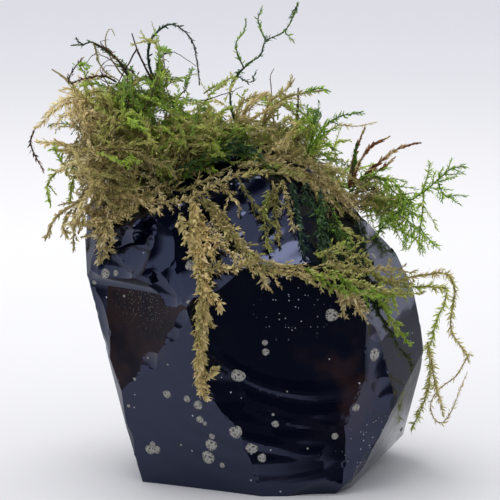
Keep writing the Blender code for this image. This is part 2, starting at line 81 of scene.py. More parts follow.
# Flake scars: the deepest point, the way it faces, the radii of its curve
# across and up, how far it reaches (one half width, or left, right, down and
# up), and the height of its ripples.
SCARS = {
    "great_front": ((9, -20.5, 34), (0, -1, 0), (110, 110), 48, 0.08),
    "left_slope": ((-20, -16, 20), (-0.36, -0.9, -0.17), (400, 300), 60, 0.06),
    "left_middle": ((-24.5, -15.2, 42.8), (-0.67, -0.74, 0.08), (90, 200), (30, 20, 34, 12), 0.01),
    "left_pit": ((-24, -14.5, 66), (0, -0.95, 0.3), (30, 16), 16, 0.03),
    "left_edge": ((-36.0, -6.3, 43), (-0.8, -0.6, -0.08), (14, 60), (14, 14, 26, 9), 0.02),
    "left_bulb": ((-31, -11, 57.5), (-0.3, -0.93, 0.2), (7, 7), 6.5, 0.01),
    "left_hollow": ((-24.0, -15.6, 60), (-0.1, -0.97, 0.05), (11, 14), 14, 0.02),
    "left_shelf": ((-34.5, -9.5, 54), (-0.62, -0.78, 0.10), (30, 26), 14, 0.02),
    "left_foot": ((-28, -15, 6), (-0.75, -0.62, -0.20), (50, 90), 22, 0.03),
    "right_lower": ((30.2, -18.0, 14.8), (0.42, -0.9, -0.1), (90, 60), 40, 0.03),
    "right_middle": ((36.2, -17.2, 27.2), (0.62, -0.78, 0.12), (60, 90), 40, 0.02),
    "right_edge": ((40, -8, 28), (0.9, -0.42, 0.02), (60, 120), 40, 0.01),
    "right_pane": ((34.6, -17.3, 28.5), (0.50, -0.86, 0.10), (30, 70), 16, 0.01),
    "right_chip": ((21.0, -21.9, 14), (0.20, -0.97, -0.12), (20, 34), 16, 0.01),
    "right_foot": ((33, -11, 5), (0.6, -0.55, -0.45), (70, 70), 40, 0.03),
    "right_shoulder": ((27, -5, 60), (0.5, -0.5, 0.7), (120, 90), 40, 0.05),
    "front_foot": ((17, -21.9, 2.5), (0.1, -0.85, -0.5), (30, 20), 16, 0.02),
    "crown_front": ((2, -13, 70), (0.05, -0.85, 0.5), (50, 60), 40, 0.05),
    "crown_chip": ((-4, -11.9, 72), (-0.2, -0.93, 0.3), (12, 16), 14, 0.03),
    "crown_facet": ((-9, -16.1, 67), (-0.3, -0.93, 0.10), (22, 30), 18, 0.03),
    "crown_notch": ((7, -11.4, 75), (0.35, -0.8, 0.5), (14, 18), 14, 0.03),
    "back_high": ((-8, 25, 58), (-0.1, 0.95, 0.25), (45, 55), 40, 0.05),
    "back_low": ((14, 26.5, 24), (0.25, 0.95, -0.1), (60, 50), 40, 0.05),
    "back_left": ((-30, 15, 44), (-0.85, 0.5, 0.05), (50, 60), 40, 0.04),
    "back_right": ((33, 20, 44), (0.75, 0.6, 0.2), (50, 60), 40, 0.005),
}
# Scars that end at the top against a ledge: how far up it starts, and its radius.
LEDGES = {"left_middle": (6.0, 2.0), "left_edge": (6.0, 2.0)}
IMPACT = (6, 56)           # (x, z) where the great front flake was struck
RIPPLE_START = 31.0        # ripples begin this far from the blow
RIPPLE_GROWTH = 8.0
RIPPLE_LENGTH = 5.2
RIPPLE_SWEEP = 0.28        # the ripples run out further to the right
ROLL_START = 37.0          # and the scar rolls over beyond this
ROLL_RADIUS = 60.0
# Steps where the crack hesitated: distance from the blow, width and height.
STEPS = [
    (25.8, 1.2, 0.16), (29.3, 2.4, 0.62), (34.3, 1.3, 0.34), (36.9, 1.1, 0.26), (40.5, 1.2, 0.22),
    (43.9, 1.5, 0.30),
]
STEP_RUN_UP = 4.0          # a step rises over this length
SIDE_BLOW = (20, 25)       # the other flakes were struck from up to this far left and up
SIDE_RIPPLE_START = 20.0
RIPPLE_SLANT = 0.06
WINDOW = (-14, 18, -32)    # the brown window's left, right and lower limits in its scar
WINDOW_TOLERANCE = 0.04
SCAR_CELL = 0.7
CUTTER_DEPTH = 60.0
SHARP_EDGE = math.radians(16)
CHIPPED_EDGE = math.radians(25)
# Chips off the edges: how many are tried, their radii, depths and spacing.
LARGE_CHIPS = (70, (8, 20), (0.25, 0.8), 22)
SMALL_CHIPS = (200, (2.0, 6), (0.06, 0.22), 7)


def link_object(name, mesh):
    """A new object in the scene that shows the given mesh, curve or lamp."""
    item = bpy.data.objects.new(name, mesh)
    bpy.context.scene.collection.objects.link(item)
    return item


def rough_block():
    """The convex block that the flakes are struck from."""
    shape = bmesh.new()
    for ring in (BASE_CORNERS, LEFT_CORNERS, CROWN_CORNERS, RIGHT_CORNERS, FRONT_CORNERS, BACK_CORNERS):
        for corner in ring:
            shape.verts.new(Vector(corner) * MM)
    bmesh.ops.convex_hull(shape, input=shape.verts)
    bmesh.ops.delete(shape, geom=[v for v in shape.verts if not v.link_faces], context="VERTS")
    bmesh.ops.recalc_face_normals(shape, faces=shape.faces)
    mesh = bpy.data.meshes.new("rough_block")
    shape.to_mesh(mesh)
    shape.free()
    return mesh


def ease(share):
    """A smooth step from 0 to 1."""
    share = np.clip(share, 0, 1)
    return share * share * (3 - 2 * share)


def scar_cutter(name, deepest, facing, radii, reach, ripple):
    """A closed block whose inner face is the rippled dish that a flake leaves."""
    out = np.array(Vector(facing).normalized())
    across = np.array(Vector((0, 0, 1)).cross(Vector(out)).normalized())
    up = np.cross(out, across)
    left, right, down, top = reach if isinstance(reach, tuple) else (reach,) * 4
    wide = int((left + right) / SCAR_CELL) + 1
    tall = int((down + top) / SCAR_CELL) + 1
    a, b = np.meshgrid(np.linspace(-left, right, wide), np.linspace(-down, top, tall), indexing="ij")
    flat = np.array(deepest, float) + a[..., None] * across + b[..., None] * up
    rise = a ** 2 / (2 * radii[0]) + b ** 2 / (2 * radii[1])
    if name in ("great_front", "left_slope"):
        from_blow = np.hypot(flat[..., 0] - IMPACT[0], flat[..., 2] - IMPACT[1])
        fade_in = np.clip((from_blow - RIPPLE_START) / RIPPLE_GROWTH, 0, 1)
        if name == "great_front":
            rise -= np.clip(from_blow - ROLL_START, 0, None) ** 2 / (2 * ROLL_RADIUS)
            swept = from_blow - RIPPLE_SWEEP * (flat[..., 0] - IMPACT[0])
            for start, width, height in STEPS:
                run_up = ease((swept - start + STEP_RUN_UP) / STEP_RUN_UP)
                rise += height * run_up * (1 - ease((swept - start) / width))
    else:
        from_blow = np.hypot(a + 0.6 * min(left, SIDE_BLOW[0]), b - min(top, SIDE_BLOW[1]))
        fade_in = np.clip(from_blow / SIDE_RIPPLE_START, 0, 1)
    if name in LEDGES:
        start, radius = LEDGES[name]
        rise += np.clip(b - start, 0, None) ** 2 / (2 * radius)
    slanted = from_blow + RIPPLE_SLANT * flat[..., 0]
    rise += ripple * fade_in * np.sin(2 * math.pi * slanted / RIPPLE_LENGTH)
    dish = (flat + rise[..., None] * out).reshape(-1, 3)
    index = np.arange(wide * tall).reshape(wide, tall)
    corners = [index[:-1, :-1], index[:-1, 1:], index[1:, 1:], index[1:, :-1]]
    quads = np.stack(corners, axis=-1).reshape(-1, 4)
    rim = np.concatenate([index[0, :], index[1:, -1], index[-1, -2::-1], index[-2:0:-1, 0]])
    lid = flat.reshape(-1, 3)[rim] + CUTTER_DEPTH * out
    lid_index = np.arange(len(rim)) + len(dish)
    walls = np.stack([np.roll(rim, -1), rim, lid_index, np.roll(lid_index, -1)], axis=-1)
    mesh = bpy.data.meshes.new("cut_" + name)
    points = np.concatenate([dish, lid]) * MM
    faces = quads.tolist() + walls.tolist() + [lid_index.tolist()]
    mesh.from_pydata(points.tolist(), [], faces)
    shape = bmesh.new()
    shape.from_mesh(mesh)
    bmesh.ops.recalc_face_normals(shape, faces=shape.faces)
    shape.to_mesh(mesh)
    shape.free()
    return link_object("cut_" + name, mesh)


def subtract(item, cutters):
    """Cut other objects out of an object, and remove those cutters."""
    for cutter in cutters:
        cut = item.modifiers.new(cutter.name, "BOOLEAN")
        cut.operation = "DIFFERENCE"
        cut.solver = "MANIFOLD"
        cut.object = cutter
    bpy.context.view_layer.update()
    graph = bpy.context.evaluated_depsgraph_get()
    mesh = bpy.data.meshes.new_from_object(item.evaluated_get(graph), depsgraph=graph)
    item.modifiers.clear()
    item.data = mesh
    for cutter in cutters:
        bpy.data.objects.remove(cutter)


def edge_chips(item, rng, count, sizes, depths, spacing):
    """Batches of shallow scoops struck off the sharp edges. No two in a batch meet."""
    shape = bmesh.new()
    shape.from_mesh(item.data)
    sharp = []
    for edge in shape.edges:
        if len(edge.link_faces) == 2 and edge.is_convex and edge.calc_face_angle(0) > CHIPPED_EDGE:
            sharp.append(edge)
    lengths = np.array([edge.calc_length() for edge in sharp])
    batches = []
    for pick in rng.choice(len(sharp), size=count, p=lengths / lengths.sum()):
        edge = sharp[pick]
        place = edge.verts[0].co.lerp(edge.verts[1].co, rng.uniform(0.1, 0.9)) / MM
        if place.z < 1.0:
            continue
        favoured = edge.link_faces[rng.integers(2)].normal
        outward = edge.link_faces[0].normal + edge.link_faces[1].normal + favoured * rng.uniform(0, 2.5)
        outward = (outward.normalized() + Vector(rng.normal(0, 0.12, 3))).normalized()
        radius = rng.uniform(*sizes)
        depth = rng.uniform(*depths)
        half_width = math.sqrt(2 * radius * depth)
        ball = bmesh.new()
        bmesh.ops.create_icosphere(ball, subdivisions=5, radius=radius * MM)
        bmesh.ops.translate(ball, verts=ball.verts, vec=(place + outward * (radius - depth)) * MM)
        far = [v for v in ball.verts if (v.co / MM - place).length > half_width * 2.2 + 2]
        bmesh.ops.delete(ball, geom=far, context="VERTS")
        batch = next((b for b in batches if all((place - p).length > spacing for p in b["places"])), None)
        if batch is None:
            batch = {"places": [], "shape": bmesh.new()}
            batches.append(batch)
        batch["places"].append(place)
        bmesh.ops.convex_hull(ball, input=ball.verts)
        bmesh.ops.recalc_face_normals(ball, faces=ball.faces)
        part = bpy.data.meshes.new("chip")
        ball.to_mesh(part)
        ball.free()
        batch["shape"].from_mesh(part)
        bpy.data.meshes.remove(part)
    shape.free()
    chips = []
    for number, batch in enumerate(batches):
        mesh = bpy.data.meshes.new(f"chips_{number}")
        batch["shape"].to_mesh(mesh)
        batch["shape"].free()
        chips.append(link_object(f"chips_{number}", mesh))
    return chips


def faces_of_scar(mesh, name):
    """Which faces of the stone lie in one scar's dish."""
    deepest, facing, radii, _, _ = SCARS[name]
    out = np.array(Vector(facing).normalized())
    across = np.array(Vector((0, 0, 1)).cross(Vector(out)).normalized())
    up = np.cross(out, across)
    centres = np.empty(len(mesh.polygons) * 3)
    mesh.polygons.foreach_get("center", centres)
    offset = centres.reshape(-1, 3) / MM - np.array(deepest, float)
    a, b, height = offset @ across, offset @ up, offset @ out
    left, right, low = WINDOW
    inside = (a > left) & (a < right) & (b > low) & (b < LEDGES[name][0])
    off_dish = height - a ** 2 / (2 * radii[0]) - b ** 2 / (2 * radii[1])
    return inside & (np.abs(off_dish) < WINDOW_TOLERANCE)


def make_stone(rng):
    """The obsidian, struck flake by flake and then chipped along its edges."""
    stone = link_object("obsidian_stone", rough_block())
    subtract(stone, [scar_cutter(name, *scar) for name, scar in SCARS.items()])
    subtract(stone, edge_chips(stone, rng, *LARGE_CHIPS))
    subtract(stone, edge_chips(stone, rng, *SMALL_CHIPS))
    stone.data.shade_smooth()
    stone.data.set_sharp_from_angle(angle=SHARP_EDGE)
    return stone


def surface_of(item):
    """A search tree of an object's surface, in millimetres."""
    mesh = item.data
    mesh.calc_loop_triangles()
    points = np.empty(len(mesh.vertices) * 3)
    mesh.vertices.foreach_get("co", points)
    triangles = np.empty(len(mesh.loop_triangles) * 3, int)
    mesh.loop_triangles.foreach_get("vertices", triangles)
    return BVHTree.FromPolygons((points.reshape(-1, 3) / MM).tolist(), triangles.reshape(-1, 3).tolist())


# ------------------------------------------------------------- shader tools

def new_tree_node(tree, kind, **settings):
    """A shader node: plain settings by name, and input values by socket name in `values`."""
    node = tree.nodes.new(kind)
    values = settings.pop("values", {})
    for key, value in settings.items():
        setattr(node, key, value)
    for socket, value in values.items():
        if isinstance(value, bpy.types.NodeSocket):
            tree.links.new(value, node.inputs[socket])
        else:
            node.inputs[socket].default_value = value
    return node


def mix_colours(tree, factor, first, second, blend="MIX"):
    """The colour output of a mix of two colours, each a socket or a plain colour."""
    node = new_tree_node(tree, "ShaderNodeMix", data_type="RGBA", blend_type=blend)
    for socket, value in (("Factor", factor), ("A", first), ("B", second)):
        target = next(s for s in node.inputs if s.name == socket and s.enabled)
        if isinstance(value, bpy.types.NodeSocket):
            tree.links.new(value, target)
        else:
            target.default_value = value
    return next(s for s in node.outputs if s.enabled)


def math_node(tree, operation, first, second=0.0, clamp=False):
    """The output of one sum, with sockets or plain numbers going in."""
    node = tree.nodes.new("ShaderNodeMath")
    node.operation = operation
    node.use_clamp = clamp
    for number, value in enumerate((first, second)):
        if isinstance(value, bpy.types.NodeSocket):
            tree.links.new(value, node.inputs[number])
        else:
            node.inputs[number].default_value = value
    return node.outputs[0]


def new_group(name, inputs, outputs):
    """An empty node group with named sockets, and its in and out nodes."""
    group = bpy.data.node_groups.new(name, "ShaderNodeTree")
    for label, kind, value in inputs:
        socket = group.interface.new_socket(name=label, in_out="INPUT", socket_type=kind)
        socket.default_value = value
    for label, kind in outputs:
        group.interface.new_socket(name=label, in_out="OUTPUT", socket_type=kind)
    return group, group.nodes.new("NodeGroupInput"), group.nodes.new("NodeGroupOutput")


def use_group(tree, group, **values):
    """A group placed in a material with its own values."""
    node = tree.nodes.new("ShaderNodeGroup")
    node.node_tree = group
    for socket, value in values.items():
        socket = socket.replace("_", " ")
        if isinstance(value, bpy.types.NodeSocket):
            tree.links.new(value, node.inputs[socket])
        else:
            node.inputs[socket].default_value = value
    return node


FLOAT = "NodeSocketFloat"
VECTOR = "NodeSocketVector"


def make_mottle_group():
    """Cloudy patches between 0 and 1, sharpened by a threshold."""
    group, given, put = new_group("mottle", [("Scale", FLOAT, 60.0), ("Threshold", FLOAT, 0.5),
                                             ("Softness", FLOAT, 0.1), ("Stretch", VECTOR, (1, 1, 1))],
                                  [("Mask", FLOAT)])
    place = new_tree_node(group, "ShaderNodeTexCoord")
    scaled = new_tree_node(group, "ShaderNodeVectorMath", operation="MULTIPLY",
                           values={0: place.outputs["Object"], 1: given.outputs["Stretch"]})
    noise = new_tree_node(group, "ShaderNodeTexNoise",
                          values={"Vector": scaled.outputs[0], "Scale": given.outputs["Scale"],
                                  "Detail": 4.0})
    low = math_node(group, "SUBTRACT", given.outputs["Threshold"], given.outputs["Softness"])
    high = math_node(group, "ADD", given.outputs["Threshold"], given.outputs["Softness"])
    ramp = new_tree_node(group, "ShaderNodeMapRange", interpolation_type="SMOOTHSTEP",
                         values={"Value": noise.outputs["Fac"], "From Min": low, "From Max": high})
    group.links.new(ramp.outputs["Result"], put.inputs["Mask"])
    return group


def make_patch_group():
    """A soft round patch about a place on the object."""
    group, given, put = new_group("patch", [("Centre", VECTOR, (0, 0, 0)), ("Radius", FLOAT, 0.01),
                                            ("Softness", FLOAT, 0.005)], [("Mask", FLOAT)])
    place = new_tree_node(group, "ShaderNodeTexCoord")
    distance = new_tree_node(group, "ShaderNodeVectorMath", operation="DISTANCE",
                             values={0: place.outputs["Object"], 1: given.outputs["Centre"]})
    outer = math_node(group, "ADD", given.outputs["Radius"], given.outputs["Softness"])
    ramp = new_tree_node(group, "ShaderNodeMapRange", interpolation_type="SMOOTHSTEP",
                         values={"Value": distance.outputs["Value"], "From Min": given.outputs["Radius"],
                                 "From Max": outer, "To Min": 1.0, "To Max": 0.0})
    group.links.new(ramp.outputs["Result"], put.inputs["Mask"])
    return group


def make_specks_group():
    """Scattered round specks, such as dust on glass."""
    group, given, put = new_group("specks", [("Scale", FLOAT, 300.0), ("Size", FLOAT, 0.1),
                                             ("Share", FLOAT, 0.5)], [("Mask", FLOAT)])
    place = new_tree_node(group, "ShaderNodeTexCoord")
    cells = new_tree_node(group, "ShaderNodeTexVoronoi",
                          values={"Vector": place.outputs["Object"], "Scale": given.outputs["Scale"]})
    dot = math_node(group, "LESS_THAN", cells.outputs["Distance"], given.outputs["Size"])
    split = new_tree_node(group, "ShaderNodeSeparateColor", values={"Color": cells.outputs["Color"]})
    chosen = math_node(group, "LESS_THAN", split.outputs["Red"], given.outputs["Share"])
    group.links.new(math_node(group, "MULTIPLY", dot, chosen), put.inputs["Mask"])
    return group


MOTTLE = make_mottle_group()
PATCH = make_patch_group()
SPECKS = make_specks_group()


def patch(tree, centre, radius, softness):
    """The mask of a soft round patch about a place on the object."""
    return use_group(tree, PATCH, Centre=centre, Radius=radius, Softness=softness).outputs["Mask"]


def new_material(name, **values):
    """A Principled material, its node tree and its shader, with plain values set."""
    material = bpy.data.materials.new(name)
    material.use_nodes = True
    tree = material.node_tree
    shader = tree.nodes["Principled BSDF"]
    for socket, value in values.items():
        shader.inputs[socket.replace("_", " ")].default_value = value
    return material, tree, shader


GLASS_BLACK = (0.0012, 0.0020, 0.0060, 1)
GLASS_CLOUD = (0.018, 0.009, 0.008, 1)
GLASS_DUST = (0.30, 0.31, 0.33, 1)
SMOKE_DARK = (0.0030, 0.0025, 0.0040, 1)
SMOKE_BROWN = (0.014, 0.007, 0.006, 1)
SMOKE_GRIT = (0.13, 0.12, 0.085, 1)
GLASS_ROUGHNESS = 0.10
SCUFF_ROUGHNESS = 0.12     # added where the glass is scuffed
DUST_ROUGHNESS = 0.5       # and added on its dust


def make_brown_glass():
    """A window of smoky brown glass, dusty under its upper edge."""
    material, tree, shader = new_material("smoky_glass", IOR=1.33, Roughness=0.22,
                                          Specular_Tint=(0.42, 0.40, 0.56, 1))
    clouds = use_group(tree, MOTTLE, Scale=150.0, Threshold=0.5, Softness=0.14).outputs["Mask"]
    colour = mix_colours(tree, clouds, SMOKE_DARK, SMOKE_BROWN)
    upper = patch(tree, (-0.027, -0.015, 0.050), 0.004, 0.010)
    grit = use_group(tree, SPECKS, Scale=2300.0, Size=0.30, Share=0.34).outputs["Mask"]
    grit = math_node(tree, "MULTIPLY", grit, upper)
    colour = mix_colours(tree, grit, colour, SMOKE_GRIT)
    tree.links.new(colour, shader.inputs["Base Color"])
    return material


def make_obsidian():
    """Black glass with brown clouds, dust, scuffed patches and fine hackle lines."""
    material, tree, shader = new_material("obsidian", IOR=1.68, Specular_Tint=(0.54, 0.61, 0.98, 1))
    brown = use_group(tree, MOTTLE, Scale=70.0, Threshold=0.56, Softness=0.09).outputs["Mask"]
    brown_side = patch(tree, (0.024, -0.02, 0.030), 0.006, 0.014)
    brown_left = patch(tree, (-0.028, -0.014, 0.038), 0.005, 0.007)
    clouds = math_node(tree, "MULTIPLY", brown, math_node(tree, "MAXIMUM", brown_side, brown_left))
    colour = mix_colours(tree, clouds, GLASS_BLACK, GLASS_CLOUD)
    dust = use_group(tree, SPECKS, Scale=420.0, Size=0.10, Share=0.16).outputs["Mask"]
    fine_dust = use_group(tree, SPECKS, Scale=1300.0, Size=0.22, Share=0.25).outputs["Mask"]
    dusty_a = patch(tree, (0.031, -0.020, 0.011), 0.003, 0.009)
    dusty_b = patch(tree, (0.010, -0.021, 0.046), 0.002, 0.009)
    dusty = math_node(tree, "MULTIPLY", fine_dust, math_node(tree, "MAXIMUM", dusty_a, dusty_b))
    specks = math_node(tree, "MAXIMUM", dust, dusty)
    colour = mix_colours(tree, specks, colour, GLASS_DUST)
    tree.links.new(colour, shader.inputs["Base Color"])
    scuffs = use_group(tree, MOTTLE, Scale=160.0, Threshold=0.60, Softness=0.10).outputs["Mask"]
    scuffed = math_node(tree, "MULTIPLY", scuffs, SCUFF_ROUGHNESS)
    rough = math_node(tree, "ADD", scuffed, GLASS_ROUGHNESS)
    dulled = math_node(tree, "MULTIPLY", specks, DUST_ROUGHNESS)
    rough = math_node(tree, "ADD", rough, dulled, clamp=True)
    tree.links.new(rough, shader.inputs["Roughness"])
    place = new_tree_node(tree, "ShaderNodeTexCoord")
    waves = new_tree_node(tree, "ShaderNodeTexNoise",
                          values={"Vector": place.outputs["Object"], "Scale": 95.0, "Detail": 2.0})
    bump = new_tree_node(tree, "ShaderNodeBump", values={"Height": waves.outputs["Fac"], "Strength": 0.35,
                                                         "Distance": 0.0006})
    tree.links.new(bump.outputs["Normal"], shader.inputs["Normal"])
    return material


def tone_ramp(tree, factor, stops):
    """A colour ramp through the given places and colours."""
    ramp = tree.nodes.new("ShaderNodeValToRGB")
    while len(ramp.color_ramp.elements) < len(stops):
        ramp.color_ramp.elements.new(1.0)
    for element, (place, colour) in zip(ramp.color_ramp.elements, stops):
        element.position = place
        element.color = (*colour, 1)
    tree.links.new(factor, ramp.inputs["Fac"])
    return ramp.outputs["Color"]


# Moss tones along the tone card, from shaded green to bare stem.
TONES = [
    (0.00, (0.020, 0.050, 0.034)), (0.12, (0.055, 0.115, 0.050)), (0.25, (0.165, 0.310, 0.036)),
    (0.38, (0.330, 0.480, 0.060)), (0.50, (0.400, 0.420, 0.110)), (0.62, (0.450, 0.390, 0.150)),
    (0.74, (0.590, 0.480, 0.230)), (0.84, (0.740, 0.650, 0.390)), (0.92, (0.300, 0.115, 0.040)),
    (1.00, (0.040, 0.028, 0.016)),
]
PALEST_TONE = 0.83         # tan shoots vary up to this tone
PALEST_LEAF = 0.845        # and their single leaves up to this one
RUST_TONE = 0.86           # from here on everything is rust or bare stem
BARE_TONE = 0.98
CARD = "OFBake"            # the leaf's place on the tone card: tone across, brightness up


def make_leaf_group():
    """Leaf colour: the tone card gives the hue, and its height the brightness."""
    group, given, put = new_group("leaf_tone", [("Darkest", FLOAT, 0.35), ("Brightest", FLOAT, 1.5)],
                                  [("Colour", "NodeSocketColor")])
    card = new_tree_node(group, "ShaderNodeUVMap", uv_map=CARD)
    split = new_tree_node(group, "ShaderNodeSeparateXYZ", values={"Vector": card.outputs["UV"]})
    hue = tone_ramp(group, split.outputs["X"], TONES)
    light = new_tree_node(group, "ShaderNodeMapRange",
                          values={"Value": split.outputs["Y"], "To Min": given.outputs["Darkest"],
                                  "To Max": given.outputs["Brightest"]})
    grey = new_tree_node(group, "ShaderNodeCombineColor",
                         values={"Red": light.outputs["Result"], "Green": light.outputs["Result"],
                                 "Blue": light.outputs["Result"]})
    group.links.new(mix_colours(group, 1.0, hue, grey.outputs["Color"], "MULTIPLY"), put.inputs["Colour"])
    return group


LEAF_TONE = make_leaf_group()


def make_leaf_material(name, roughness, see_through):
    """Thin leaves: glossy enough to catch the light, and partly lit from behind."""
    material, tree, shader = new_material(name, Roughness=roughness, IOR=1.4)
    tone = use_group(tree, LEAF_TONE).outputs["Colour"]
    tree.links.new(tone, shader.inputs["Base Color"])
    glow = new_tree_node(tree, "ShaderNodeBsdfTranslucent", values={"Color": tone})
    both = new_tree_node(tree, "ShaderNodeMixShader",
                         values={0: see_through, 1: shader.outputs["BSDF"], 2: glow.outputs["BSDF"]})
    tree.links.new(both.outputs["Shader"], tree.nodes["Material Output"].inputs["Surface"])
    return material


CRYSTAL_PALE = (0.42, 0.41, 0.37, 1)
CRYSTAL_DARK = (0.022, 0.023, 0.028, 1)
CRYSTAL_CLOUD = (0.15, 0.145, 0.125, 1)
CRYSTAL_RIM = (0.27, 0.265, 0.24, 1)


def make_spherulite_material():
    """Pale grey crystal balls in the glass, with a darker middle and radiating fibres."""
    material, tree, shader = new_material("spherulite", Roughness=0.32)
    card = new_tree_node(tree, "ShaderNodeUVMap", uv_map=CARD)
    middle = new_tree_node(tree, "ShaderNodeVectorMath", operation="DISTANCE",
                           values={0: card.outputs["UV"], 1: (0.5, 0.5, 0.0)})
    cells = new_tree_node(tree, "ShaderNodeTexVoronoi", feature="DISTANCE_TO_EDGE",
                          values={"Vector": card.outputs["UV"], "Scale": 5.5})
    veins = new_tree_node(tree, "ShaderNodeMapRange",
                          values={"Value": cells.outputs["Distance"], "From Min": 0.02, "From Max": 0.20})
    cloud = new_tree_node(tree, "ShaderNodeTexNoise", values={"Vector": card.outputs["UV"], "Scale": 9.0})
    mottled = mix_colours(tree, veins.outputs["Result"], CRYSTAL_PALE, CRYSTAL_DARK)
    faint = math_node(tree, "MULTIPLY", cloud.outputs["Fac"], 0.5)
    mottled = mix_colours(tree, faint, mottled, CRYSTAL_CLOUD)
    rim = new_tree_node(tree, "ShaderNodeMapRange",
                        values={"Value": middle.outputs["Value"], "From Min": 0.30, "From Max": 0.42})
    colour = mix_colours(tree, rim.outputs["Result"], mottled, CRYSTAL_RIM)
    tree.links.new(colour, shader.inputs["Base Color"])
    bump = new_tree_node(tree, "ShaderNodeBump", values={"Height": veins.outputs["Result"], "Strength": 0.5,
                                                         "Distance": 0.0002})
    tree.links.new(bump.outputs["Normal"], shader.inputs["Normal"])
    return material


# ---------------------------------------------------------- growing the moss

def unit(vectors):
    """The same directions at length one."""
    return vectors / np.maximum(np.linalg.norm(vectors, axis=-1, keepdims=True), 1e-9)


class Growth:
    """Points, triangles and tone-card places gathered for one piece."""

    def __init__(self):
        self.points = []
        self.triangles = []
        self.cards = []
        self.count = 0

    def add(self, points, triangles, cards):
        self.points.append(points.reshape(-1, 3))
        self.triangles.append(triangles.reshape(-1, 3) + self.count)
        self.cards.append(cards.reshape(-1, 2))
        self.count += len(self.points[-1])

    def finish(self, name, material):
        """One object from everything gathered."""
        points = np.concatenate(self.points) * MM
        triangles = np.concatenate(self.triangles)
        cards = np.concatenate(self.cards)
        mesh = bpy.data.meshes.new(name)
        mesh.vertices.add(len(points))
        mesh.vertices.foreach_set("co", points.ravel())
        mesh.loops.add(triangles.size)
        mesh.loops.foreach_set("vertex_index", triangles.ravel().astype(np.int32))
        mesh.polygons.add(len(triangles))
        mesh.polygons.foreach_set("loop_start", np.arange(0, triangles.size, 3, dtype=np.int32))
        layer = mesh.uv_layers.new(name=CARD)
        layer.data.foreach_set("uv", np.clip(cards[triangles.ravel()], 0.002, 0.998).ravel())
        mesh.update(calc_edges=True)
        mesh.validate()
        mesh.shade_smooth()
        mesh.materials.append(material)
        return link_object(name, mesh)


def even_route(points, step=None, count=None):
    """Points evenly spaced on a smooth curve through the given ones."""
    route = [np.array(point, dtype=float) for point in points]
    padded = [2 * route[0] - route[1]] + route + [2 * route[-1] - route[-2]]
    dense = []
    for before, start, end, after in zip(padded, padded[1:], padded[2:], padded[3:]):
        for t in np.linspace(0, 1, 12, endpoint=False):
            dense.append(0.5 * (2 * start + (end - before) * t
                                + (2 * before - 5 * start + 4 * end - after) * t ** 2
                                + (3 * start - before - 3 * end + after) * t ** 3))
    dense = np.array(dense + [route[-1]])
    lengths = np.concatenate([[0], np.cumsum(np.linalg.norm(np.diff(dense, axis=0), axis=1))])
    count = count or max(3, round(lengths[-1] / step)) + 1
    marks = np.linspace(0, lengths[-1], count)
    return np.stack([np.interp(marks, lengths, dense[:, axis]) for axis in range(dense.shape[1])], axis=1)


def path_frames(paths, facing):
    """Tangent, normal and side vectors along many paths at once."""
    tangents = unit(np.gradient(paths, axis=1))
    normals = np.empty_like(paths)
    carried = np.broadcast_to(facing, paths[:, 0].shape) + 1e-3
    for step in range(paths.shape[1]):
        along = tangents[:, step]
        carried = unit(carried - along * np.sum(carried * along, axis=1, keepdims=True))
        normals[:, step] = carried
    return tangents, normals, np.cross(tangents, normals)


STEM_SIDES = 4


def add_stems(growth, paths, facing, root, tip, tones, bright):
    """Thin stems along many paths."""
    _, normals, sides = path_frames(paths, facing)
    shoots, steps = paths.shape[:2]
    radii = np.linspace(root, tip, steps)
    rings = []
    for turn in range(STEM_SIDES):
        angle = 2 * math.pi * turn / STEM_SIDES
        rings.append(paths + radii[None, :, None] * (math.cos(angle) * normals + math.sin(angle) * sides))
    points = np.stack(rings, axis=2)
    index = np.arange(shoots * steps * STEM_SIDES).reshape(shoots, steps, STEM_SIDES)
    a = index[:, :-1, :]
    b = np.roll(index, -1, axis=2)[:, :-1, :]
    c = np.roll(index, -1, axis=2)[:, 1:, :]
    d = index[:, 1:, :]
    triangles = np.concatenate([np.stack(three, -1).reshape(-1, 3) for three in ((a, b, c), (a, c, d))])
    cards = np.empty(points.shape[:3] + (2,))
    cards[..., 0] = tones[:, None, None] + np.arange(STEM_SIDES)[None, None, :] % 2 * 0.012
    cards[..., 1] = bright[:, None, None] + np.linspace(0, 0.12, steps)[None, :, None]
    growth.add(points, triangles, cards)


def along_shoots(values, steps):
    """One value for a whole shoot, or one for each step, as an array of shoots and steps."""
    values = np.asarray(values, float)
    return values if values.ndim == 2 else np.repeat(values[:, None], steps, axis=1)


# A leaf blade as (along, across, fold) shares of its length and width, and its triangles.
FINE_BLADE = np.array([(0, 0.12, 0), (0.33, -0.5, 0.16), (0.33, 0, 0), (0.33, 0.5, 0.16),
                       (0.70, -0.34, 0.10), (0.70, 0, 0), (0.70, 0.34, 0.10), (1, 0, 0)])
FINE_TRIANGLES = np.array([(0, 1, 2), (0, 2, 3), (1, 4, 5), (1, 5, 2),
                           (2, 5, 6), (2, 6, 3), (4, 7, 5), (5, 7, 6)])
SMALL_BLADE = np.array([(0, 0, 0), (0.42, -0.5, 0.16), (0.42, 0, 0), (0.42, 0.5, 0.16), (1, 0, 0)])
SMALL_TRIANGLES = np.array([(0, 1, 2), (0, 2, 3), (1, 4, 2), (2, 4, 3)])
GOLDEN_ANGLE = math.radians(137.5)


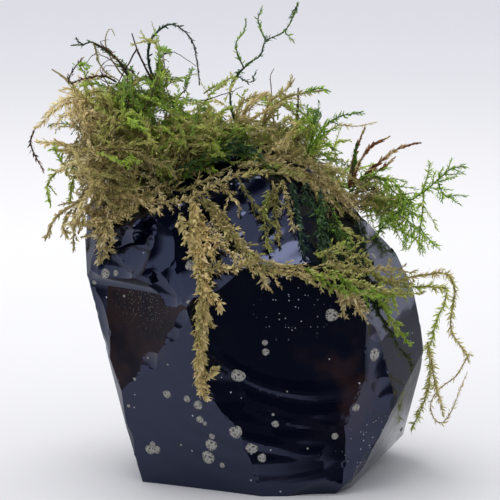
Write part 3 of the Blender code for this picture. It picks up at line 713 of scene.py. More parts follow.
def add_leaves(growth, paths, facing, style, tones, bright, rng, fine=False):
    """Leaves along many paths. The style says how long, wide, close and spread they are."""
    tangents, normals, _ = path_frames(paths, facing)
    shoots, steps = paths.shape[:2]
    tones, bright = along_shoots(tones, steps), along_shoots(bright, steps)
    lengths = np.linalg.norm(np.diff(paths, axis=1), axis=2).sum(axis=1)
    counts = np.maximum(3, (lengths / style["spacing"]).astype(int))
    shoot = np.repeat(np.arange(shoots), counts)
    number = np.arange(len(shoot)) - np.repeat(np.cumsum(counts) - counts, counts)
    share = (number + rng.uniform(0.1, 0.9, len(shoot))) / counts[shoot]
    spot = share * (steps - 1)
    low = np.minimum(spot.astype(int), steps - 2)
    part = spot - low

    def along_path(values):
        share_here = part[:, None] if values.ndim == 3 else part
        return values[shoot, low] * (1 - share_here) + values[shoot, low + 1] * share_here

    base = along_path(paths)
    forward = unit(along_path(tangents))
    normal = unit(along_path(normals))
    side = np.cross(forward, normal)
    turn = number * GOLDEN_ANGLE + rng.normal(0, 0.25, len(shoot)) + rng.uniform(0, 6.28, shoots)[shoot]
    if style.get("flat"):
        turn = (number % 2) * math.pi + math.pi / 2 + rng.normal(0, style["flat"], len(shoot))
    lift_off = np.cos(turn)
    if style.get("one_sided"):
        lift_off = np.where(lift_off < 0, -0.7 * lift_off, lift_off)
    outward = unit(lift_off[:, None] * normal + np.sin(turn)[:, None] * side)
    spread = style["spread"] * (1 - 0.45 * share ** 5) * rng.uniform(0.55, 1.45, len(shoot))
    heading = np.cos(spread)[:, None] * forward + np.sin(spread)[:, None] * outward
    upper = unit(np.cos(spread)[:, None] * outward - np.sin(spread)[:, None] * forward)
    across = np.cross(heading, upper)
    roll = rng.normal(0, 0.6, len(shoot))[:, None]
    turned = across * np.cos(roll) + upper * np.sin(roll)
    upper = upper * np.cos(roll) - across * np.sin(roll)
    across = turned
    size = np.interp(share, [0, 0.12, 0.6, 0.9, 1], style.get("profile", [0.7, 1, 1, 0.8, 0.55]))
    size = size * rng.uniform(0.45, 1.25, len(shoot))
    length = style["length"] * size
    width = style["width"] * size
    bend = -style.get("curl", 0.2) * rng.normal(1, 0.8, len(shoot))
    blade, blade_triangles = (FINE_BLADE, FINE_TRIANGLES) if fine else (SMALL_BLADE, SMALL_TRIANGLES)
    reach = blade[None, :, 0] * length[:, None]
    wide = blade[None, :, 1] * width[:, None]
    lift = blade[None, :, 2] * width[:, None] + bend[:, None] * blade[None, :, 0] ** 2 * length[:, None]
    points = (base[:, None, :] + reach[..., None] * heading[:, None, :]
              + wide[..., None] * across[:, None, :] + lift[..., None] * upper[:, None, :])
    index = np.arange(len(shoot))[:, None, None] * len(blade)
    leaf_tone = along_path(tones) + rng.normal(0, style.get("tone_jitter", 0.02), len(shoot))
    leaf_tone = np.where(along_path(tones) < RUST_TONE, np.minimum(leaf_tone, PALEST_LEAF), leaf_tone)
    leaf_light = along_path(bright) + rng.normal(0, 0.11, len(shoot))
    cards = np.empty(points.shape[:2] + (2,))
    cards[..., 0] = leaf_tone[:, None] + blade[None, :, 1] * 0.014
    cards[..., 1] = np.clip(leaf_light, 0.02, 0.8)[:, None] + blade[None, :, 0] * 0.18
    growth.add(points, blade_triangles[None] + index, cards)


def side_branches(path, facing, spacing, reach, angle, rng, start=0.1, droop=0.0, steps=7, round_about=0.35):
    """Short branches that leave a main path alternately to its left and right."""
    tangents, normals, sides = path_frames(path[None], facing)
    total = np.linalg.norm(np.diff(path, axis=0), axis=1).sum()
    count = max(1, int(total * (1 - start) / spacing))
    clumps, phase = rng.uniform(8, 14), rng.uniform(0, 6)
    branches = []
    for number in range(count):
        share = start + (1 - start) * (number + rng.uniform(0.2, 0.8)) / count
        spot = share * (len(path) - 1)
        low = min(int(spot), len(path) - 2)
        place = path[low] + (path[low + 1] - path[low]) * (spot - low)
        turn = (number % 2) * math.pi + rng.normal(0, round_about)
        outward = math.cos(turn) * sides[0, low] + math.sin(turn) * normals[0, low]
        lean = angle * rng.uniform(0.7, 1.25)
        heading = math.cos(lean) * tangents[0, low] + math.sin(lean) * outward
        clump = 0.75 + 0.55 * math.sin(share * clumps + phase)
        length = reach * rng.uniform(0.5, 1.2) * clump * (1 - 0.45 * share ** 3)
        marks = np.linspace(0, 1, steps)[:, None]
        bow = rng.normal(0, 0.18, 3) + tangents[0, low] * 0.25
        bow[2] -= droop
        branches.append(place + length * (marks * heading + marks ** 2 * bow))
    return np.array(branches)


# How the leaves of each kind of shoot sit.
STYLES = {
    "plume": dict(length=1.5, width=0.56, spacing=0.19, spread=0.90, curl=0.3),
    "furry": dict(length=1.7, width=0.40, spacing=0.11, spread=1.05, curl=0.30),
    "comb": dict(length=1.45, width=0.60, spacing=0.20, spread=0.95, curl=0.35),
    "frond": dict(length=1.7, width=0.95, spacing=0.22, spread=0.95, curl=0.5),
    "mat": dict(length=1.3, width=0.62, spacing=0.22, spread=1.05, curl=0.5, tone_jitter=0.04),
    "spiky": dict(length=1.5, width=0.50, spacing=0.20, spread=1.2, curl=0.45),
    "tight": dict(length=1.6, width=0.66, spacing=0.15, spread=0.42, curl=-0.1,
                  profile=[0.9, 1, 1, 0.7, 0.4]),
    "sparse": dict(length=1.35, width=0.42, spacing=0.28, spread=0.80, curl=0.1),
    "bare": dict(length=0.8, width=0.22, spacing=1.3, spread=0.7, curl=0.0),
}


def signed_distance(surface, point):
    """Distance from a surface, negative inside it, and the way out."""
    place, normal, _, distance = surface.find_nearest(Vector(point))
    away = Vector(point) - place
    inside = away.dot(normal) < 0
    way_out = normal if inside or distance < 1e-6 else away / distance
    return (-distance if inside else distance), np.array(way_out)


STONE_GAP = 0.8            # shoots keep this far off the stone


def wander(cushion, stone, count, steps, stride, rng, pull, loose, seed_box):
    """Paths of shoots that start in a cushion and wander in and just out of it."""
    low, high = seed_box
    pull = np.array(pull, float)
    gaps = np.array(GAPS, float)
    paths = []
    heights = []
    while len(paths) < count:
        place = rng.uniform(low, high)
        depth, _ = signed_distance(cushion, place)
        if depth > -0.2:
            continue
        heading = unit(rng.normal(0, 0.8, 3) + pull)
        swing = rng.normal(0, 0.16, 3)
        allowed = abs(rng.normal(0, loose))
        path = [place]
        above = [depth]
        step_length = stride * rng.uniform(0.7, 1.3)
        for _ in range(steps - 1):
            heading = unit(heading + swing + rng.normal(0, 0.09, 3) + pull * 0.05)
            place = place + heading * step_length
            beyond, way_out = signed_distance(cushion, place)
            if beyond > allowed:
                heading = unit(heading - way_out * 0.5)
                place = place - way_out * (beyond - allowed) * 0.5
            into, off_stone = signed_distance(stone, place)
            if into < STONE_GAP:
                place = place + off_stone * (STONE_GAP - into)
                heading = unit(heading + off_stone * 0.5)
            path.append(place)
            above.append(beyond)
        track = np.array(path)
        between = np.hypot(track[:, :1] - gaps[None, :, 0], track[:, 2:] - gaps[None, :, 1])
        if ((between < gaps[None, :, 2]) & (track[:, 1:2] < GAP_DEPTH)).any():
            continue
        paths.append(path)
        heights.append(above)
    return np.array(paths), np.array(heights)


# Tints of the tangle by place: centre, radius, tone on the card and brightness. The brightness paints light
# and shade: bright on the tangle's top, dim low on its front.
TINTS_AND_SHADE = [
    ((-37, -1, 92), 6, 0.77, 0.58), ((-46, -3, 92), 5, 0.77, 0.55), ((-33, -4, 83), 7, 0.69, 0.32),
    ((-27, -4, 89), 6, 0.27, 0.50), ((-31, 0, 97), 7, 0.26, 0.46), ((-22, -2, 96), 6, 0.29, 0.46),
    ((-22, -6, 87), 4, 0.32, 0.46), ((-14, -3, 93), 4, 0.34, 0.50),
    ((-12, 0, 98), 6, 0.34, 0.50), ((-7, -2, 92), 6, 0.56, 0.55), ((-25, -8, 80), 7, 0.58, 0.22),
    ((-12, -8, 80), 6, 0.48, 0.18), ((-4, -4, 84), 4, 0.16, 0.30), ((8, -4, 82), 6, 0.68, 0.44),
    ((-17, -12, 73), 6, 0.66, 0.18), ((-28, -9, 76), 5, 0.62, 0.20), ((-20, -6, 85), 5, 0.60, 0.28),
    ((-33, -3, 88), 4, 0.70, 0.46), ((-36, -6, 73), 6, 0.74, 0.46), ((0, 0, 90), 4, 0.64, 0.50),
    ((5, -2, 92), 3, 0.38, 0.50), ((14, -2, 88), 4, 0.34, 0.48), ((18, 0, 78), 5, 0.70, 0.44),
    ((26, 2, 72), 5, 0.72, 0.44), ((33, 4, 66), 6, 0.45, 0.42), ((-20, 22, 78), 10, 0.38, 0.40),
    ((0, 24, 78), 8, 0.60, 0.42), ((18, 24, 74), 8, 0.32, 0.40), ((-8, 20, 60), 7, 0.66, 0.42),
    ((10, 22, 60), 7, 0.42, 0.42),
]


def tint_and_shade_at(points):
    """Tone, and brightness with painted light and shade, for places in the tangle."""
    centres = np.array([tint[0] for tint in TINTS_AND_SHADE], float)
    spreads = np.array([tint[1] for tint in TINTS_AND_SHADE], float)
    distances = np.linalg.norm(points[:, None, :] - centres[None], axis=2)
    weights = np.exp(-(distances / spreads) ** 2) + 1e-6
    weights = weights / weights.sum(axis=1, keepdims=True)
    return weights @ np.array([tint[2] for tint in TINTS_AND_SHADE]), weights @ np.array([tint[3] for tint in TINTS_AND_SHADE])


# Each cushion: how many tangled shoots, longer fronds and bare wires, the way they are drawn,
# how far they may stray, and a slot name.
TANGLES = {
    "crown_tangle": dict(shoots=330, fronds=40, wires=14, pull=(0, -0.5, 0.4), loose=1.6, stray=3.5,
                         slot="olive_moss"),
    "green_tuft": dict(shoots=150, fronds=22, wires=26, pull=(0, -0.1, 0.7), loose=1.6, stray=3.2,
                       slot="green_moss"),
    "golden_cushion": dict(shoots=290, fronds=56, wires=8, pull=(-0.5, -0.4, 0.1), loose=1.4, stray=4.5,
                           slot="tan_moss"),
    "right_tangle": dict(shoots=44, fronds=8, wires=8, pull=(0.3, -0.2, 0.6), loose=1.2, stray=3.0,
                         slot="green_moss"),
    "back_drape": dict(shoots=300, fronds=46, wires=10, pull=(0, 0.4, -0.3), loose=1.6, stray=3.0,
                       slot="green_moss"),
}
# Openings that no shoot in front crosses: (x, z) and radius.
GAPS = [
    (22, 85, 6.0), (27, 80, 4.5), (31, 60, 5.5), (37, 56, 5.0), (-25.2, 102.9, 2.6), (-17.6, 102.5, 2.6),
    (-13.5, 97.2, 2.2), (-22.5, 90.5, 1.7), (-7.9, 93.7, 2.2), (-14.8, 92.3, 1.9), (-32.9, 100, 2.0),
    (-5.1, 90.3, 1.6), (2.5, 91, 2.4), (9, 90, 2.0), (-29, 105, 3.0), (-10, 101, 3.0), (-45, 86, 2.4),
    (-44.5, 74.5, 2.2), (-2, 72, 5.0), (4, 69, 6.0), (-47.5, 80.5, 2.0), (-19, 96.5, 1.5), (-26, 97.5, 1.4),
    (18, 80.5, 2.0), (24.5, 73.5, 1.6),
]
GAP_DEPTH = 15.0           # and they reach this far back
SHOOT_STYLE = dict(length=1.25, width=0.44, spacing=0.25, spread=0.85, curl=0.3, tone_jitter=0.03)
FROND_STYLE = dict(length=1.4, width=0.52, spacing=0.21, spread=0.85, curl=0.3, tone_jitter=0.025)
TWIG_STYLE = dict(length=1.0, width=0.38, spacing=0.24, spread=0.85, curl=0.3, tone_jitter=0.025)


def colour_paths(paths, heights, rng):
    """Tones and brightness along shoots: by place, with painted shade that darkens them deep in the cushion
    and lightens them further out.
    """
    shoots, steps = paths.shape[:2]
    tones, bright = tint_and_shade_at(paths.reshape(-1, 3))
    tones = tones.reshape(shoots, steps) + rng.normal(0, 0.10, shoots)[:, None]
    bright = bright.reshape(shoots, steps) + rng.normal(0, 0.11, shoots)[:, None]
    # Painted shade: darker where a shoot runs deep in the cushion, lighter where it stands out and towards
    # its end.
    bright = bright + np.clip(heights, -4, 3) * 0.055 + np.linspace(-0.08, 0.08, steps)[None, :]
    return np.minimum(tones, PALEST_TONE), np.clip(bright, 0.03, 0.8)


def make_tangle(name, plan, stone, leaf, rng):
    """A cushion as the tangled shoots and fronds it is made of."""
    solid = surface_of(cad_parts[name])
    box = [np.array(corner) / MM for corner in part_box(name)]
    facing = np.array((0.2, -0.9, 0.4))
    share = 1.0
    growth = Growth()
    pull = plan["pull"]
    many = int(plan["shoots"] * share)
    paths, heights = wander(solid, stone, many, 10, 1.5, rng, pull, plan["loose"], box)
    tones, bright = colour_paths(paths, heights, rng)
    add_stems(growth, paths, facing, 0.14, 0.06, np.full(len(paths), 0.62), np.full(len(paths), 0.3))
    add_leaves(growth, paths, facing, SHOOT_STYLE, tones, bright, rng)
    many = int(plan["fronds"] * share)
    paths, heights = wander(solid, stone, many, 15, 1.6, rng, pull, plan["stray"], box)
    tones, bright = colour_paths(paths, heights, rng)
    bright = bright + 0.08
    add_stems(growth, paths, facing, 0.20, 0.08, np.full(len(paths), 0.66), np.full(len(paths), 0.35))
    add_leaves(growth, paths, facing, FROND_STYLE, tones, bright, rng, fine=True)
    for path, tone, light in zip(paths, tones, bright):
        twigs = side_branches(path, facing, 2.4, 3.6, 0.85, rng, start=0.3, steps=5, round_about=0.8)
        many = len(twigs)
        add_stems(growth, twigs, facing, 0.10, 0.05, np.full(many, 0.62), np.full(many, 0.3))
        add_leaves(growth, twigs, facing, TWIG_STYLE, np.full(many, tone[10]), np.full(many, light[10]), rng)
    many = int(plan["wires"] * share) + 1
    paths, _ = wander(solid, stone, many, 13, 1.5, rng, pull, 5.0, box)
    paths = paths + np.cumsum(rng.normal(0, 0.12, paths.shape), axis=1)
    dark = np.full(len(paths), BARE_TONE)
    add_stems(growth, paths, facing, 0.16, 0.07, dark, np.full(len(paths), 0.25))
    add_leaves(growth, paths, facing, STYLES["bare"], dark, np.full(len(paths), 0.3), rng)
    piece = growth.finish(name + "_shoots", leaf)
    claim(piece, name)


def claim(piece, node):
    """The piece rides on the object and stands in for a node, which is hidden."""
    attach(piece, "root")
    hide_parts(node)


# ------------------------------------------------------- shoots on the stone

RAY_START = 150.0
LAY_STEP = 1.2


def lay_on(route, side, lift, surfaces):
    """The way a limp shoot lies over what is under it, bridging the hollows."""
    found = []
    for x, z in route:
        hits = []
        for dx, dz in ((0, 0), (0.8, 0), (-0.8, 0), (0, 0.8), (0, -0.8)):
            start = Vector((x + dx, side * RAY_START, z + dz))
            for surface in surfaces:
                place = surface.ray_cast(start, Vector((0, -side, 0)))[0]
                if place:
                    hits.append(side * place.y)
        found.append(max(hits) + lift if hits else math.nan)
    heights = np.array(found)
    known = ~np.isnan(heights)
    if not known.any():
        return None
    marks = np.arange(len(heights))
    heights = np.interp(marks, marks[known], heights[known])
    spans = np.abs(marks[:, None] - marks[None, :]) * LAY_STEP
    taut = np.max(heights[None, :] - 0.7 * spans, axis=1)
    eased = np.convolve(np.pad(taut, 2, mode="edge"), [0.1, 0.2, 0.4, 0.2, 0.1], mode="valid")
    return side * np.maximum(eased, heights)


# Shoots that lie against the stone: slot, side, style, tone, brightness, branch
# spacing, branch reach, how many strands run the whole way and how many only
# start out, how wide they wander, and the route as (x, z).
DRAPED_SHOOTS = {
    "hanging_strand": ("tan_moss", -1, "frond", 0.71, 0.62, 1.1, 2.0, (3, 3), 0.6,
                       [(-14, 72), (-13.5, 66), (-12.5, 59.5), (-11, 51.5), (-11.5, 39), (-12, 31.5),
                        (-11, 25.5)]),
    "diagonal_strand": ("tan_moss", -1, "mat", 0.70, 0.46, 1.5, 3.2, (3, 3), 1.5,
                        [(-12, 72), (-5.5, 64.5), (3, 58.5), (12, 57), (20, 54)]),
    "shoulder_strand": ("olive_moss", -1, "mat", 0.54, 0.46, 1.4, 3.6, (4, 2), 1.9,
                        [(18, 57.5), (28, 54.5), (34, 51.5), (40, 49.5)]),
    "brown_tuft": ("tan_moss", -1, "mat", 0.76, 0.50, 1.2, 2.8, (4, 0), 1.3,
                   [(21, 52), (25, 49), (26.5, 45.5)]),
    "green_streamer": ("green_moss", -1, "plume", 0.42, 0.46, 2.2, 2.4, (1, 1), 0.0,
                       [(31, 49), (34, 43), (37, 38), (40, 34)]),
    "front_rope": ("tan_moss", -1, "mat", 0.76, 0.62, 1.6, 2.6, (8, 3), 2.0,
                   [(-40, 63), (-36, 67), (-31, 70), (-25, 71.5), (-21, 71)]),
    "crown_rope": ("tan_moss", -1, "mat", 0.70, 0.46, 2.0, 2.4, (5, 1), 1.3,
                   [(-3, 79), (5, 79.5), (12.5, 76.5), (18, 72), (23, 66)]),
    "dark_drape_a": ("dark_green_moss", -1, "comb", 0.60, 0.26, 1.8, 2.6, (2, 1), 1.2,
                     [(5.5, 76), (6, 70), (7, 62)]),
    "dark_drape_b": ("dark_green_moss", -1, "comb", 0.08, 0.34, 1.8, 2.6, (1, 2), 1.2,
                     [(10, 75), (11.5, 67.5), (13, 60)]),
    "dark_drape_c": ("dark_green_moss", -1, "comb", 0.14, 0.36, 1.8, 2.6, (3, 1), 1.4,
                     [(15, 72.5), (17, 65.5), (18.5, 59)]),
    "dark_drape_d": ("dark_green_moss", -1, "comb", 0.22, 0.40, 1.8, 2.4, (2, 1), 1.2,
                     [(20, 68.5), (22.5, 62.5), (25, 57.5)]),
    "left_drape": ("olive_moss", -1, "frond", 0.70, 0.44, 1.6, 2.4, (2, 2), 1.4,
                   [(-37, 66), (-36.5, 61), (-35, 57)]),
    "back_strand_a": ("green_moss", 1, "comb", 0.36, 0.46, 1.8, 2.8, (3, 2), 1.6,
                      [(-24, 72), (-26, 62), (-25, 52), (-28, 42)]),
    "back_strand_b": ("olive_moss", 1, "frond", 0.60, 0.46, 1.6, 2.8, (2, 3), 1.6,
                      [(-10, 66), (-9, 52), (-12, 43), (-10, 34)]),
    "back_strand_c": ("tan_moss", 1, "frond", 0.75, 0.48, 1.6, 2.4, (2, 3), 1.4,
                      [(8, 64), (10, 52), (8, 44)]),
    "back_strand_d": ("green_moss", 1, "comb", 0.30, 0.44, 1.8, 2.8, (3, 2), 1.6,
                      [(21, 68), (23, 56), (28, 46), (29, 36)]),
}

# Further strands of the same pieces: tone, brightness and route.
DRAPED_OFFSHOOTS = {
    "hanging_strand": [(0.70, 0.44, [(-11.5, 55), (-8, 56.5), (-3, 57), (2, 59.5)]),
                       (0.72, 0.60, [(-11.2, 30), (-9.3, 30.5), (-8, 32.5)]),
                       (0.73, 0.60, [(-11.5, 52), (-8.5, 50), (-7, 46.5)]),
                       (0.70, 0.58, [(-11, 50), (-10.5, 46), (-9, 43)])],
    "diagonal_strand": [(0.76, 0.46, [(2, 58), (3, 54), (4.5, 51.5)]),
                        (0.66, 0.26, [(-14, 75), (-9, 70), (-6, 65)])],
    "shoulder_strand": [(0.40, 0.44, [(13, 57), (19, 53), (24, 50.5)]),
                        (0.42, 0.5, [(24, 54), (31, 49.5), (38, 47)]),
                        (0.36, 0.44, [(20, 56), (27, 50.5), (35, 48)])],
    "crown_rope": [(0.78, 0.50, [(12, 78), (18, 74), (24, 68.5), (27, 65)]),
                   (0.54, 0.02, [(-3, 77), (0, 72), (5, 66)]),
                   (0.76, 0.48, [(14, 79), (21, 72.5), (27, 67)]),
                   (0.70, 0.40, [(8, 76), (9.5, 70), (10.5, 65)])],
    "front_rope": [(0.72, 0.42, [(-38, 68), (-35, 64), (-36, 60)]),
                   (0.72, 0.36, [(-24, 71.5), (-18, 71.5), (-12, 73.5), (-7, 76), (-2, 78)]),
                   (0.66, 0.24, [(-23, 73.5), (-16, 74), (-10, 76.5), (-5, 79)])],
    "dark_drape_a": [(0.12, 0.30, [(-20, 77.5), (-13, 80.5), (-6, 84.5), (1, 83), (5, 78)]),
                     (0.18, 0.30, [(-24, 74), (-17, 77), (-9, 80.5), (-2, 82.5), (4, 79)])],
    "brown_tuft": [(0.78, 0.48, [(24, 50), (22, 47), (23, 44.5)])],
}


def grow_shoots(name, paths, facing, style, tones, light, gap, reach, leaf, rng, stem=0.28, droop=0.1,
                one_sided=False):
    """Leafy shoots with short side branches along one or more paths, as one piece."""
    growth = Growth()
    facing = np.array(facing, float)
    leaves = dict(STYLES[style], one_sided=one_sided)
    small = dict(leaves, length=leaves["length"] * 0.75, width=leaves["width"] * 0.75)
    shoots, steps = paths.shape[:2]
    bright = light + rng.normal(0, 0.03, shoots) * (shoots > 1)
    along = np.linspace(0, 1, steps)[None, :]
    wave = 0.05 * np.sin(along * 9 + rng.uniform(0, 6, shoots)[:, None])
    stem_tones = np.interp(tones, [0.0, 0.3, 0.5, 0.85, 0.88, 1.0], [0.03, 0.10, 0.60, 0.72, 0.93, 1.0])
    for chosen, thick in ((slice(0, 1), stem), (slice(1, None), stem * 0.7)):
        if len(paths[chosen]):
            add_stems(growth, paths[chosen], facing, thick, thick * 0.45, stem_tones[chosen],
                      np.full(len(paths[chosen]), 0.3))
    waved = tones[:, None] + wave
    leaf_tones = np.where(tones[:, None] < RUST_TONE, np.minimum(waved, PALEST_TONE), waved)
    leaf_lights = bright[:, None] + wave + 0.06 * along
    add_leaves(growth, paths, facing, leaves, leaf_tones, leaf_lights, rng, fine=True)
    if gap:
        for path, own_tone, own_light, stem_tone in zip(paths, tones, bright, stem_tones):
            twigs = side_branches(path, facing, gap, reach, 0.95, rng, droop=droop)
            many = len(twigs)
            add_stems(growth, twigs, facing, stem * 0.5, stem * 0.25, np.full(many, stem_tone),
                      np.full(many, 0.3))
            add_leaves(growth, twigs, facing, small, own_tone + rng.normal(0, 0.035, many),
                       own_light + 0.04 + rng.normal(0, 0.06, many), rng, fine=True)
    piece = growth.finish(name + "_leafy", leaf)
    claim(piece, name)


def make_draped_shoots(surfaces, leaf, rng):
    """The shoots that hang over the stone and the cushions, each with its own strands."""
    for name, (slot, side, style, tone, light, gap, reach, strands, width, route) in DRAPED_SHOOTS.items():
        flat = even_route(route, LAY_STEP)
        marks = np.linspace(0, 1, len(flat))
        full, short = strands
        ways = [(tone, light, flat)]
        for strand in range(1, full + short):
            share = 1 if strand < full else rng.uniform(0.15, 0.40)
            part = np.column_stack([np.interp(marks * share, marks, flat[:, axis]) for axis in (0, 1)])
            wave = np.sin(marks[:, None] * share * rng.uniform(3, 7, 2) + rng.uniform(0, 6, 2))
            widen = width if strand < full else 1.2 * width + 1.4
            ways.append((min(tone + rng.normal(0, 0.07), PALEST_TONE), light + rng.normal(0, 0.09),
                         part + widen * (rng.normal(0, 0.7, 2) + wave)))
        for own_tone, own_light, offshoot in DRAPED_OFFSHOOTS.get(name, []):
            ways.append((own_tone, own_light, even_route(offshoot, count=len(flat))))
        laid = []
        for strand, (own_tone, own_light, way) in enumerate(ways):
            depth = lay_on(way, side, 0.9 + 0.3 * strand ** 0.5, surfaces)
            if depth is not None:
                laid.append((own_tone, own_light, np.column_stack([way[:, 0], depth, way[:, 1]])))
        tones, lights, paths = (np.array(values) for values in zip(*laid))
        grow_shoots(name, paths, (0, side, 0.1), style, tones, lights,
                    gap, reach, leaf, rng, one_sided=True)


